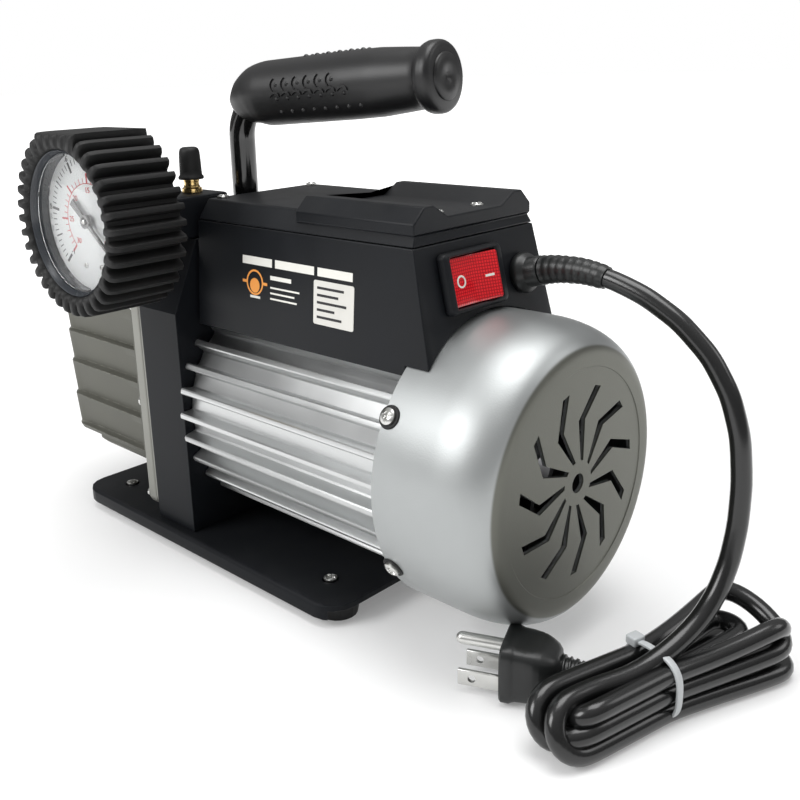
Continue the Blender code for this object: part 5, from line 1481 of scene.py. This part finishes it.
print("inlet at", foot.round(4), "filler cap", round(float(tall), 4), "m tall")

# %% [markdown]
# ## Prints and small screws
# The box carries a printed label on the side and a sticker. Both are kept generic: a sketch of the pump,
# with a rotor set off-centre in its housing, and plain bars in place of words. Prints are thin closed
# plates that stand a few hundredths of a millimetre off the wall, which leans in slightly towards the top.

# %% Label on the side wall
WALL_OUT, WALL_FOOT = 0.0400, 0.1123  # how far out the wall stands at its foot
WALL_LEAN = (WALL_OUT - 0.0362) / (0.1590 - WALL_FOOT)


def on_wall(outline, depth=0.00012, lift=0.00008):
    """Outline in (x, z) laid on the leaning wall and given a small depth."""
    outline = np.asarray(outline, float)
    wall = -(WALL_OUT - (outline[:, 1] - WALL_FOOT) * WALL_LEAN)
    rows = [np.column_stack([outline[:, 0], wall + move, outline[:, 1]]) for move in (depth, -lift)]
    return np.concatenate(rows) + SHIFT, capped_faces(2, len(outline))


def bar(x, z, length, height):
    """Plain rectangle from (x, z)."""
    return [(x, z), (x + length, z), (x + length, z + height), (x, z + height)]


def band(middle, inner, outer, low=0.0, high=360.0, count=40):
    """Part of a flat ring."""
    t = np.radians(np.linspace(low, high, count))
    unit = np.column_stack([np.cos(t), np.sin(t)])
    return np.concatenate([unit * outer, unit[::-1] * inner]) + np.array(middle)


cream, orange = [], []
cream += [on_wall(bar(-0.0305, 0.1436, 0.0190, 0.0034)), on_wall(bar(-0.0095, 0.1436, 0.0235, 0.0034)),
          on_wall(bar(0.0160, 0.1436, 0.0195, 0.0034))]
cream += [on_wall(bar(-0.0125, 0.1385, 0.0130, 0.0017))]
for line, length in enumerate((0.0180, 0.0150, 0.0165)):
    cream.append(on_wall(bar(-0.0125, 0.1349 - line * 0.0023, length, 0.0007)))
cream.append(on_wall(bar(-0.0255, 0.1296, 0.0065, 0.0010)))
orange += [on_wall(band((-0.0225, 0.1362), 0.0046, 0.0054, low, low + 180)) for low in (0, 180)]
orange += [on_wall(band((-0.0225, 0.1349), 0.0000, 0.0031, 0, 360, 48)[:48])]
orange += [on_wall(bar(-0.0305, 0.1356, 0.0027, 0.0012)), on_wall(bar(-0.0172, 0.1356, 0.0027, 0.0012))]
skin("label_bars", join_shapes(cream), label_white, sharp=60)
skin("label_sketch", join_shapes(orange), label_orange, sharp=60)
sticker_edge = rectangle_rows([(0.01125, 0.00875, 0.0009, 0)])[0][:, :2] + np.array((0.02525, 0.13325))
skin("sticker_sheet", on_wall(sticker_edge, 0.0001, 0.00010), sticker_paper, sharp=60)
lines = [on_wall(bar(0.0160, 0.1386 - i * 0.0029, length, 0.0010), 0.0, 0.00016)
         for i, length in enumerate((0.0150, 0.0120, 0.0165, 0.0100, 0.0140))]
skin("sticker_lines", join_shapes(lines), label_grey, sharp=60)
print("label pieces", len(cream), "cream and", len(orange), "orange; sticker lines", len(lines))

# %% Screws on the lid, the base and the head
LID_TOP, BASE_TOP = 0.1680, 0.0106
lid_screws = [screw(at(x, y, LID_TOP), (0, 0, 1), 0.0026, 0.0015, 0.0033, turn=x * 99)
              for x, y in ((-0.0560, 0.0270), (-0.0560, -0.0260), (0.0560, 0.0120), (0.0560, -0.0120))]
base_screws = [screw(at(x, y, BASE_TOP), (0, 0, 1), 0.0030, 0.0016, 0.0040, turn=x * 99)
               for x in (-0.1389, 0.0156) for y in (-0.0376, 0.0376)]
skin("lid_screw_heads", join_shapes(lid_screws), zinc, sharp=30)
skin("base_screw_heads", join_shapes(base_screws), zinc, sharp=30)
print("lid screws", len(lid_screws), "base screws", len(base_screws))

# %% [markdown]
# ## Finishes of the solids that stay
# Every solid that still shows gets the finish of what it is made of. Some sit inside, and are seen only
# when the machine is taken apart.

# %% Assign finishes to solids
KEPT = {
    rubber: ("rubber_foot_1", "rubber_foot_2", "rubber_foot_3", "rubber_foot_4", "shaft_seal"),
    steel: ("motor_shaft", "front_bearing", "rear_bearing"),
    iron: ("pump_stator", "pump_end_plate", "pump_rotor", "stator_core", "motor_rotor"),
    zinc: ("drain_screw",),
    brass: ("gauge_stem",), copper: ("front_winding", "rear_winding"), cast_metal: ("end_shield",),
    fibre: ("tank_gasket", "vane_1", "vane_2"), glass: ("sight_glass",), plug_plastic: ("cooling_fan",),
    label_white: ("capacitor",),
}
for material, nodes in KEPT.items():
    for node in nodes:
        mesh = bpy.data.objects[node].data
        mesh.materials.clear()
        mesh.materials.append(material)
print("finished solids", sum(len(nodes) for nodes in KEPT.values()))

# %% [markdown]
# ## Vane springs
# Two coil springs between the vanes push them outwards. When one vane slides in, only its half of each spring
# gets shorter. So each spring is made as an upper and a lower half, and both halves ride on the shaft line.

# %% Springs in halves
COIL_RADIUS, WIRE_RADIUS, HALF_TURN = 0.0013, 0.0003, 5 * pi


def half_coils(way):
    """For both springs, a circle of 0.3 mm carried along a helix of 1.3 mm from the middle to one end."""
    shapes = []
    for node in ("vane_spring_1", "vane_spring_2"):
        low, high = corners_of(node)
        x, y, middle = (low + high) / 2
        rise = (high[2] - low[2]) / 2 - WIRE_RADIUS
        turn = np.linspace(0, HALF_TURN, 61) * way
        across, along = x + COIL_RADIUS * np.cos(turn), y + COIL_RADIUS * np.sin(turn)
        helix = np.stack([across, along, middle + rise * turn / HALF_TURN], -1)
        shapes.append(tube(helix, WIRE_RADIUS, 8, (0, 0, 1)))
    return join_shapes(shapes)


for name, way, vane, node in (("spring_uppers", 1, "vane_1_slide", "vane_spring_1"),
                              ("spring_lowers", -1, "vane_2_slide", "vane_spring_2")):
    coils = skin(name, half_coils(way), steel, "shaft_line", stands_for=(node,), sharp=60)
    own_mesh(coils)
    print(name, len(coils.data.polygons), "faces")
